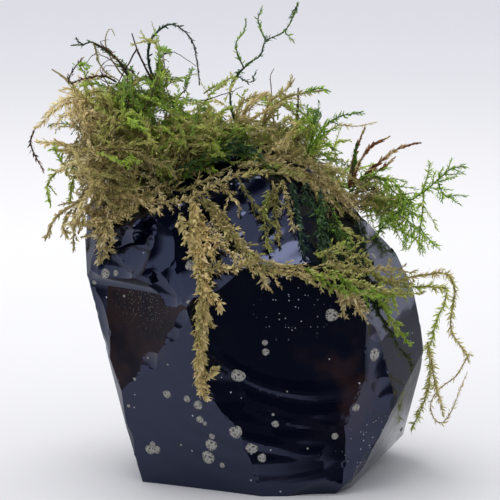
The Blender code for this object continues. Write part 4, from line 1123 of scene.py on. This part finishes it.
# Shoots clear of the stone: slot, style, tone, brightness, stem radius, branch
# spacing (0 for none), branch reach, and the route as (x, y, z) from the root.
FREE_SHOOTS = {
    "tan_arch": ("tan_moss", "furry", 0.80, 0.62, 0.26, 2.4, 1.2,
                 [(-37, 0, 91), (-42, 0, 94), (-46, -1, 93.5), (-49.5, -3, 91), (-53, -4, 87.5)]),
    "dark_wire": ("bare_stem", "sparse", 0.97, 0.35, 0.24, 0, 0,
                  [(-53, -4, 87.5), (-54, -5, 84.5), (-52.5, -6, 81), (-50.5, -6.5, 77.5)]),
    "leafy_drop": ("green_moss", "plume", 0.45, 0.50, 0.3, 3.0, 2.5,
                   [(-38, -3, 80), (-46, -4, 78), (-49, -5, 76), (-50, -6, 73), (-49, -6, 69)]),
    "tan_bar": ("tan_moss", "tight", 0.77, 0.56, 0.26, 2.5, 1.8,
                [(-38, 2, 82), (-48, 2, 83.5), (-53.5, 2, 84)]),
    "green_sprig": ("dark_green_moss", "sparse", 0.18, 0.45, 0.2, 2.5, 2.5,
                    [(-38, 5, 86), (-47, 6, 88), (-50.5, 6, 87.5)]),
    "short_drop": ("green_moss", "plume", 0.47, 0.48, 0.3, 3.0, 2.5,
                   [(-38, -7, 79), (-43, -8.5, 76.5), (-44, -9, 70)]),
    "tan_branch": ("tan_moss", "tight", 0.72, 0.42, 0.4, 2.5, 2.5,
                   [(-36, -4, 74), (-43, -5, 69.5), (-47.5, -7, 66.5), (-50.5, -7, 60.5)]),
    "left_tassel": ("olive_moss", "plume", 0.66, 0.46, 0.3, 1.8, 3.0,
                    [(-38, 1, 75), (-43, 0, 69), (-44, -1, 64), (-44, -1, 57)]),
    "straw": ("tan_moss", "bare", 0.78, 0.62, 0.42, 0, 0,
              [(-37, 3, 91), (-42.5, 4, 96), (-45, 3, 99), (-49, 2, 102)]),
    "dark_stem": ("bare_stem", "sparse", 0.20, 0.30, 0.34, 0, 0,
                  [(-29, 4, 98), (-32, 4, 103.5), (-38.5, 2, 108.5), (-41, 1, 108), (-44, 0, 108)]),
    "curled_stem": ("bare_stem", "bare", 0.80, 0.35, 0.24, 0, 0,
                    [(-30, 6, 98), (-34.5, 7, 104), (-36, 6, 109), (-34.8, 6, 112), (-33.5, 6, 110)]),
    "forked_twig": ("bare_stem", "bare", 0.97, 0.35, 0.32, 0, 0,
                    [(-23, 2, 97), (-26.5, 1, 104), (-29, 0, 111)]),
    "arch_stem": ("dark_green_moss", "sparse", 0.06, 0.36, 0.36, 0, 0,
                  [(-23, 5, 97), (-25.3, 6, 103), (-25, 5, 108.5), (-22, 4, 112), (-19, 3, 112.8),
                   (-16, 2, 110.8), (-13.8, 2, 107), (-12.5, 2, 98)]),
    "top_twig": ("dark_green_moss", "sparse", 0.22, 0.36, 0.26, 0, 0,
                 [(-3.5, 3, 88), (-5, 4, 97), (-1, 4, 102.5), (2.5, 3, 105.5), (4, 2, 109), (8.5, 2, 111.5),
                  (11, 1, 116), (11.7, 1, 118.5)]),
    "twig_fork_left": ("green_moss", "sparse", 0.30, 0.45, 0.2, 0, 0,
                       [(-1.5, 4, 102), (-3.5, 1, 108), (-1.5, 0, 111.5), (-1, 0, 114.5)]),
    "twig_fork_middle": ("green_moss", "sparse", 0.26, 0.42, 0.22, 0, 0,
                         [(4, 2.2, 109), (2, 5, 113.5), (3, 6, 117)]),
    "tan_tip": ("tan_moss", "tight", 0.77, 0.48, 0.35, 0, 0, [(-3, 0, 88), (0, -4, 94), (4.5, -4.5, 97)]),
    "pale_plume": ("olive_moss", "plume", 0.60, 0.55, 0.3, 3.0, 2.5,
                   [(3, 1, 88), (8, -1, 95), (13, -1, 96.5), (18, -1, 97)]),
    "red_thread": ("rust_moss", "bare", 0.93, 0.42, 0.18, 0, 0, [(6, 5, 88), (5, 5, 99), (6, 4, 102)]),
    "dark_upright": ("bare_stem", "sparse", 0.97, 0.30, 0.36, 0, 0,
                     [(12, 4, 84), (12, 5, 90), (12, 5.5, 97)]),
    "green_upright": ("green_moss", "plume", 0.34, 0.50, 0.3, 2.0, 2.2,
                      [(14, 0, 80), (15.5, -3, 87), (15.5, -4, 92)]),
    "green_arch": ("green_moss", "plume", 0.28, 0.48, 0.26, 3.0, 1.6,
                   [(15, 5, 80), (18.5, 4, 87.5), (22, 3, 90), (28, 2, 91.5)]),
    "tan_under_arch": ("tan_moss", "sparse", 0.80, 0.55, 0.20, 0, 0,
                       [(16, 7, 80), (21, 8, 87), (27, 6, 87.5), (31.5, 5, 88.5)]),
    "rust_tip_a": ("rust_moss", "tight", 0.90, 0.42, 0.3, 0, 0, [(25, 4, 72), (26, 3, 79), (28.5, 2, 87.5)]),
    "rust_tip_b": ("rust_moss", "tight", 0.89, 0.50, 0.3, 0, 0,
                   [(25, 3, 73), (29, -1.5, 82), (34.5, -3, 86)]),
    "rust_tip_c": ("rust_moss", "tight", 0.91, 0.46, 0.28, 0, 0,
                   [(25, 5, 72), (33.5, 6, 79), (37.5, 5, 82), (42.5, 4, 83.5)]),
    "spray_a": ("green_moss", "spiky", 0.34, 0.56, 0.26, 1.3, 4.6,
                [(25, 4, 71), (29.5, 1, 75.5), (33.5, 0, 74.5), (36.5, -1, 71.5), (39.5, -2, 70),
                 (43.5, -3, 72.5), (47, -3, 75.5), (49.5, -4, 78), (53, -4, 78.5)]),
    "spray_side": ("green_moss", "spiky", 0.36, 0.48, 0.2, 1.8, 3.0,
                   [(42.5, -2.5, 72), (44, 1.5, 75), (45, 3, 78.5)]),
    "spray_b": ("green_moss", "spiky", 0.40, 0.58, 0.22, 1.5, 3.6,
                [(43, -3, 72), (42.5, -6, 68), (41.5, -7, 61.5), (42, -7, 57.5)]),
    "spray_c": ("green_moss", "spiky", 0.39, 0.58, 0.24, 1.3, 4.6,
                [(27, 6, 70), (31, 8, 67), (35.5, 9.5, 65), (38.5, 10.5, 61), (40.5, 11, 57.5)]),
    "loop_outer": ("olive_moss", "furry", 0.60, 0.74, 0.28, 5.0, 1.6,
                   [(37, -6, 50.5), (43.5, -6, 52), (47.5, -6.5, 52.5), (50, -6.5, 51), (51, -6.5, 48),
                    (50.5, -6, 44), (50, -5, 40), (50.5, -5, 36.5), (53, -4, 33), (55, -3, 29)]),
    "loop_inner": ("green_moss", "furry", 0.48, 0.74, 0.26, 2.4, 1.3,
                   [(37, -7, 49), (44, -10.5, 49.7), (48, -12, 49.5), (47.5, -12.5, 46), (46, -12, 42),
                    (45, -11, 37), (44, -9.5, 33)]),
    "thin_loop_a": ("olive_moss", "furry", 0.62, 0.70, 0.18, 0, 0,
                    [(44.5, -9.5, 34), (46, -7.5, 26), (47, -6.5, 22), (48.5, -6, 16)]),
    "thin_loop_b": ("olive_moss", "sparse", 0.66, 0.72, 0.18, 0, 0,
                    [(54.5, -2.5, 30), (53, 0, 26), (50.5, 1, 23), (47.5, 1, 20.5), (45.7, 1, 17),
                     (46.5, 0, 13.5), (49, -1, 12.5), (51, -2, 15.5), (52.5, -3, 20), (54.5, -3, 26)]),
    "edge_strip": ("olive_moss", "furry", 0.52, 0.66, 0.24, 2.0, 1.2,
                   [(44.5, -3, 34), (45.5, 1, 29), (45.5, 3, 22), (44.5, 8, 15), (42, 13, 7)]),
}


# Further branches of the same pieces: tone and route.
FREE_OFFSHOOTS = {
    "spray_a": [(0.30, [(32, -1, 61.5), (34, -1.5, 64.5), (39.5, -2, 69.5)]),
                (0.36, [(36.5, -1, 71.5), (37.8, -2, 68), (40, -3, 64), (40.3, -3, 60.5)]),
                (0.34, [(46, -3, 75), (47.5, -5, 72), (50, -6, 71)])],
    "spray_c": [(0.38, [(27, 5, 70), (29, 2, 69), (32.5, 1, 65.5), (32, 0, 60.5)]),
                (0.34, [(32.5, 8, 68), (33.8, 6, 65), (33.3, 5, 62)]),
                (0.40, [(34, 9, 63.5), (37, 9.5, 61), (40.3, 10, 59.5)])],
    "spray_b": [(0.36, [(42, -6.5, 64), (44, -8, 61), (46, -8, 59.5)])],
    "rust_tip_a": [(0.20, [(25.2, 4, 74), (26.2, 3, 79), (26.5, 2, 83.5)])],
    "rust_tip_c": [(0.92, [(29, 5, 76), (33, 3, 77), (36, 2, 80)])],
    "straw": [(0.84, [(-37, 3, 91), (-42, 2.5, 95.5), (-45.5, 1.5, 99.5), (-47, 1, 100.5)])],
    "forked_twig": [(0.98, [(-27.8, 0, 107), (-30, -2, 103), (-33, -3, 98)]),
                    (0.97, [(-27.6, 0, 106.5), (-26, -1, 103.5), (-24.3, -1, 100)])],
    "dark_stem": [(0.60, [(-38.5, 2, 108.5), (-37.5, 1, 104), (-35, 0, 101), (-32, 0, 99)]),
                  (0.98,
                   [(-33, 1, 99), (-36, 0, 100.5), (-41, 0, 99.5), (-44.5, 0, 98.5), (-43.5, 0, 102),
                    (-41, 0, 105)]),
                  (0.98, [(-38.5, 2, 108.5), (-34, 1, 106), (-29, 0, 99)]),
                  (0.02, [(-41, 1, 108), (-43, 1, 109.5)])],
    "curled_stem": [(0.90, [(-34.5, 7, 106), (-37.5, 6, 108.5), (-35, 6, 109)])],
    "top_twig": [(0.12, [(-1, 4, 102.5), (-3, 3, 100.5), (0.5, 3, 98.5), (1.5, 3, 101.5)]),
                 (0.34, [(8.5, 2, 111.5), (10, 0, 110), (10.8, -1, 109)]),
                 (0.18, [(11.7, 1, 118), (10.6, 1, 116.6), (9.8, 1, 114.5)])],
    "pale_plume": [(0.66, [(3, 1, 88), (5, 0, 94), (9.5, -0.5, 97.5), (11, -1, 100)]),
                   (0.30, [(13, -1, 96.5), (17, -1, 97.5), (19.5, -1, 96.8)])],
    "green_upright": [(0.36, [(15, -2, 83), (17.5, -3, 87), (19, -3, 90)]),
                      (0.42, [(15, -1, 81), (17, -2, 83), (20, -2, 84)])],
    "green_arch": [(0.36, [(15, 5, 80), (17, 4, 84), (19, 3, 86.5), (22, 2, 87.5)])],
    "tan_arch": [(0.80, [(-35, 0, 90), (-39, -1, 93), (-44, -2, 92), (-49, -3, 88)]),
                 (0.76, [(-33, -2, 88), (-37, -3, 91.5), (-41, -4, 91), (-44, -4, 88)]),
                 (0.79, [(-37, 1, 92), (-42, 0, 95.2), (-47, -1, 94), (-51, -2, 90.5)]),
                 (0.74, [(-30, -4, 86), (-34, -6, 90), (-37, -6, 89), (-39, -6, 85)])],
    "tan_bar": [(0.70, [(-38, 1, 80), (-44, 1, 81.5), (-49, 1, 82.5)])],
    "leafy_drop": [(0.40, [(-45, -4, 78), (-47.5, -5, 82), (-48, -5, 84.5)])],
    "tan_branch": [(0.76, [(-38, -5, 71), (-42, -6, 66), (-43.5, -6, 62.5)]),
                   (0.72, [(-44, -5, 68), (-46, -6, 64), (-45, -6, 61)])],
    "tan_tip": [(0.70, [(-3, 0, 87), (2, -3, 91), (8, -4, 94.5)])],
}


def make_free_shoots(leaf, rng):
    """The shoots that stand or hang clear, each with its own offshoots."""
    for name, (slot, style, tone, light, stem, gap, reach, route) in FREE_SHOOTS.items():
        path = even_route(route, 1.0)
        ways = [(tone, path)]
        for own_tone, offshoot in FREE_OFFSHOOTS.get(name, []):
            ways.append((own_tone, even_route(offshoot, count=len(path))))
        paths = np.array([way[1] for way in ways])
        wobble = np.cumsum(rng.normal(0, 0.06, paths.shape), axis=1)
        wobble -= np.linspace(0, 1, len(path))[None, :, None] * wobble[:, -1:]
        tones = np.array([way[0] for way in ways])
        grow_shoots(name, paths + wobble, (0.1, -1, 0.2), style, tones, light, gap, reach, leaf, rng,
                    stem)


# ------------------------------------------------------------- spherulites

# The larger spherulites on the front and flanks: (x, z) and radius.
SPHERULITES = [
    (-14.3, 56.4, 1.7), (-14.8, 48.6, 0.6), (4.1, 53.4, 1.1), (19.7, 44.9, 2.0), (30.1, 34.8, 2.0),
    (-2.9, 29.8, 2.0), (3.6, 37.9, 0.9), (3.8, 35.6, 1.1), (-15.4, 23.4, 1.1), (-12.7, 22.1, 1.4),
    (-20.3, 24.1, 1.3), (-12.2, 18.3, 1.2), (-11, 17.4, 0.7), (-3.6, 16.1, 2.0), (-9.3, 14.2, 1.0),
    (-9.5, 12.0, 1.9), (-10.3, 8.5, 2.1), (0.5, 12.0, 1.8), (2.9, 9.7, 1.3), (6.1, 18.1, 1.1),
    (5.6, 20.3, 0.5),
    (-24.8, 8.8, 1.6), (-23.2, 9.0, 1.3), (-24.1, 10.4, 0.9), (-6.8, 6.9, 0.9), (-35.5, 52.8, 1.4),
    (-32.9, 53.1, 1.0), (20.6, 15.0, 1.1), (25.7, 22.0, 1.3), (40.1, 24.6, 1.4), (-28.3, 27.3, 0.5),
    (-25, 33, 0.4), (-20, 32, 0.35), (14, 12, 0.35), (-17, 11, 0.4), (9, 26, 0.3), (-30, 20, 0.6),
]
DOME_SIZES = [0.4, 0.7, 1.0, 1.3, 1.8]
DOME_SHARES = [0.3, 0.25, 0.2, 0.15, 0.1]
DOMES_AROUND = 45          # this many more lie on the flanks and the back
DOME_TRIM = 0.9
DOME_RISE = 0.16
DOME_SINK = 0.08           # the rim lies this far under the glass
DOME_RINGS = 5
DOME_SIDES = 20
CARD_RADIUS = 0.42


def make_spherulites(stone, finish, rng):
    """Low crystal domes seated in the glass, in one joined mesh."""
    seats = []
    for x, z, radius in SPHERULITES:
        place, normal, _, _ = stone.ray_cast(Vector((x, -RAY_START, z)), Vector((0, 1, 0)))
        if place:
            seats.append((place, normal, radius * DOME_TRIM))
    while len(seats) < len(SPHERULITES) + DOMES_AROUND:
        around = rng.uniform(0, 2 * math.pi)
        if math.sin(around) < -0.3:
            continue
        start = Vector((RAY_START * math.cos(around), RAY_START * math.sin(around), rng.uniform(4, 66)))
        aim = Vector((rng.uniform(-25, 25), rng.uniform(-10, 15), start.z)) - start
        place, normal, _, _ = stone.ray_cast(start, aim.normalized())
        if place and place.z > 2.5:
            seats.append((place, normal, rng.choice(DOME_SIZES, p=DOME_SHARES)))
    growth = Growth()
    shares = np.linspace(0, 1, DOME_RINGS + 1)[1:]
    angles = np.arange(DOME_SIDES) * 2 * math.pi / DOME_SIDES
    for place, normal, radius in seats:
        turn = rng.uniform(0, 2 * math.pi)
        outline = 1 + 0.05 * np.sin(angles * 3 + turn) + rng.normal(0, 0.03, DOME_SIDES)
        side = unit(np.cross(np.array(normal), (0.3, 0.2, 0.9)))
        up = np.cross(np.array(normal), side)
        points = [np.array(place) + np.array(normal) * DOME_RISE * min(1, radius)]
        cards = [(0.5, 0.5)]
        for share in shares:
            height = DOME_RISE * min(1, radius) * (1 - share ** 3) - DOME_SINK * (share == 1)
            for angle, stretch in zip(angles, outline):
                out = share * radius * stretch
                points.append(np.array(place) + side * out * math.cos(angle) + up * out * math.sin(angle)
                              + np.array(normal) * height)
                card_out = CARD_RADIUS * share
                card_angle = angle + turn
                cards.append((0.5 + card_out * math.cos(card_angle), 0.5 + card_out * math.sin(card_angle)))
        triangles = []
        for k in range(DOME_SIDES):
            after = (k + 1) % DOME_SIDES
            triangles.append((0, 1 + k, 1 + after))
            for ring in range(DOME_RINGS - 1):
                a = 1 + ring * DOME_SIDES
                b = a + DOME_SIDES
                triangles.append((a + k, b + k, b + after))
                triangles.append((a + k, b + after, a + after))
        growth.add(np.array(points), np.array(triangles), np.array(cards))
    piece = growth.finish("spherulites", finish)
    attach(piece, "root")


# ------------------------------------------------------ camera, floor, light

VIEW_DISTANCE = 500.0
VIEW_HEIGHT = 57.0         # the camera looks at this height above the base
VIEW_TILT = math.radians(10)
FRAME_WIDTH = 125.0        # the view's width where it looks at


def make_camera():
    """A long lens straight in front, a little above the middle and tilted down."""
    camera = bpy.data.cameras.new("camera")
    camera.sensor_width = 36.0
    camera.lens = camera.sensor_width * VIEW_DISTANCE / FRAME_WIDTH
    holder = link_object("camera", camera)
    target = Vector((0, 0, VIEW_HEIGHT)) * MM
    back = Vector((0, -math.cos(VIEW_TILT), math.sin(VIEW_TILT))) * VIEW_DISTANCE * MM
    holder.location = target + back
    holder.rotation_euler = (math.pi / 2 - VIEW_TILT, 0, 0)
    bpy.context.scene.camera = holder


# The paper from just in front of the stone to the far end, darker in front as a painted falloff of light.
PAPER_SHADE_TONES = [
    (0.04, (0.60, 0.592, 0.60)), (0.22, (0.71, 0.70, 0.695)), (0.34, (0.74, 0.725, 0.72)),
    (0.75, (0.83, 0.82, 0.825)),
]
# Painted shade that only mirror rays see on the table: how dim it is beside the stone, and its dark colour.
PAINTED_SHADOW_BESIDE = 0.75
MIRRORED_PAINTED_SHADE = (0.01, 0.01, 0.012, 1)


def soft_step(tree, value, start, end):
    """A mask that goes smoothly from 0 at the start to 1 at the end."""
    step = new_tree_node(tree, "ShaderNodeMapRange", interpolation_type="SMOOTHSTEP",
                         values={"Value": value, "From Min": start, "From Max": end})
    return step.outputs["Result"]


def make_floor():
    """A broad pale table. Only mirror rays see its painted shade: dark a little way in front and dim beside
    the stone at the right.
    """
    mesh = bpy.data.meshes.new("table")
    mesh.from_pydata([(-3, -3, 0), (3, -3, 0), (3, 6, 0), (-3, 6, 0)], [], [(0, 1, 2, 3)])
    table = link_object("table", mesh)
    material, tree, shader = new_material("table_paper_painted_shade", Roughness=0.9)
    place = new_tree_node(tree, "ShaderNodeNewGeometry")
    split = new_tree_node(tree, "ShaderNodeSeparateXYZ", values={"Vector": place.outputs["Position"]})
    x, y = split.outputs["X"], split.outputs["Y"]
    # Painted shade for mirror rays only: the table turns dark far in front, and nearer except at the left,
    mirror_shade = soft_step(tree, y, -0.10, -0.16)
    not_left = soft_step(tree, x, -0.065, -0.035)
    nearer = math_node(tree, "MULTIPLY", soft_step(tree, y, -0.045, -0.075), not_left)
    mirror_shade = math_node(tree, "MAXIMUM", mirror_shade, nearer)
    # nearest at the right half of the stone,
    half = math_node(tree, "MULTIPLY", soft_step(tree, x, 0.0, 0.020), soft_step(tree, x, 0.050, 0.036))
    nearest = math_node(tree, "MULTIPLY", soft_step(tree, y, -0.030, -0.040), half)
    mirror_shade = math_node(tree, "MAXIMUM", mirror_shade, nearest)
    # and a painted shadow dims it beside the stone at the right.
    beside = math_node(tree, "MULTIPLY", soft_step(tree, x, 0.038, 0.060), soft_step(tree, y, -0.030, 0.0))
    mirror_shade = math_node(tree, "MAXIMUM", mirror_shade, math_node(tree, "MULTIPLY", beside, PAINTED_SHADOW_BESIDE))
    ray = new_tree_node(tree, "ShaderNodeLightPath")
    dark = math_node(tree, "MULTIPLY", mirror_shade, ray.outputs["Is Glossy Ray"])
    # Painted shade: the paper darkens towards the front.
    back = new_tree_node(tree, "ShaderNodeMapRange",
                         values={"Value": y, "From Min": -0.1, "From Max": 1.9})
    paper = tone_ramp(tree, back.outputs["Result"], PAPER_SHADE_TONES)
    tree.links.new(mix_colours(tree, dark, paper, MIRRORED_PAINTED_SHADE), shader.inputs["Base Color"])
    mesh.materials.append(material)


# The tent's tones by how nearly a ray goes the way of its opening or of its screen.
OPENING = (0, -0.98, 0.17)
OPENING_TONES = [(0.74, (0.86, 0.88, 1.0)), (0.84, (0.01, 0.012, 0.02))]
SCREEN = (0.62, 0.37, 0.70)
SCREEN_TONES = [(0.82, (1, 1, 1)), (0.93, (0.10, 0.10, 0.11))]
TENT_LIGHT = (0.86, 0.88, 0.94, 1)


def make_surroundings():
    """A white tent that is open, and dark, towards the viewer, with a dark screen high at the right."""
    world = bpy.data.worlds.new("tent")
    bpy.context.scene.world = world
    world.use_nodes = True
    tree = world.node_tree
    place = new_tree_node(tree, "ShaderNodeTexCoord")
    facing = new_tree_node(tree, "ShaderNodeVectorMath", operation="DOT_PRODUCT",
                           values={0: place.outputs["Generated"], 1: OPENING})
    tent = tone_ramp(tree, facing.outputs["Value"], OPENING_TONES)
    screen = new_tree_node(tree, "ShaderNodeVectorMath", operation="DOT_PRODUCT",
                           values={0: place.outputs["Generated"], 1: SCREEN})
    shade = tone_ramp(tree, screen.outputs["Value"], SCREEN_TONES)
    tent = mix_colours(tree, 1.0, tent, shade, "MULTIPLY")
    ray = new_tree_node(tree, "ShaderNodeLightPath")
    seen = mix_colours(tree, ray.outputs["Is Glossy Ray"], TENT_LIGHT, tent)
    tree.links.new(seen, tree.nodes["Background"].inputs["Color"])
    tree.nodes["Background"].inputs["Strength"].default_value = 1.0


LIGHT_AIM = Vector((0, 0, 0.05))


def make_light(name, place, size, power):
    """A square lamp that shines at the middle of the object."""
    light = bpy.data.lights.new(name, "AREA")
    light.energy = power
    light.size = size
    holder = link_object(name, light)
    holder.location = place
    aim = LIGHT_AIM - Vector(place)
    holder.rotation_euler = aim.to_track_quat("-Z", "Y").to_euler()


SEED = 7
LEAF_ROUGHNESS = 0.42
LEAF_SEE_THROUGH = 0.42
OVERHEAD_PLACE = (-0.1, 0.1, 0.9)
OVERHEAD_SIZE = 0.7
OVERHEAD_POWER = 6


def main():
    """Everything in the order that its random draws need."""
    rng = np.random.default_rng(SEED)
    stone = make_stone(rng)
    stone.data.materials.clear()
    stone.data.materials.append(make_obsidian())
    stone.data.materials.append(make_brown_glass())
    window = faces_of_scar(stone.data, "left_middle").astype(np.int32)
    stone.data.polygons.foreach_set("material_index", window)
    claim(stone, "stone")
    stone_surface = surface_of(stone)
    make_spherulites(stone_surface, make_spherulite_material(), rng)
    leaf = make_leaf_material("moss_leaf", LEAF_ROUGHNESS, LEAF_SEE_THROUGH)
    for name, plan in TANGLES.items():
        make_tangle(name, plan, stone_surface, leaf, rng)
    cushions = [surface_of(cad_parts[name]) for name in TANGLES]
    make_draped_shoots([stone_surface] + cushions, leaf, rng)
    make_free_shoots(leaf, rng)
    make_camera()
    make_floor()
    make_surroundings()
    make_light("overhead", OVERHEAD_PLACE, OVERHEAD_SIZE, OVERHEAD_POWER)
    bpy.context.scene.view_settings.view_transform = "Standard"


main()
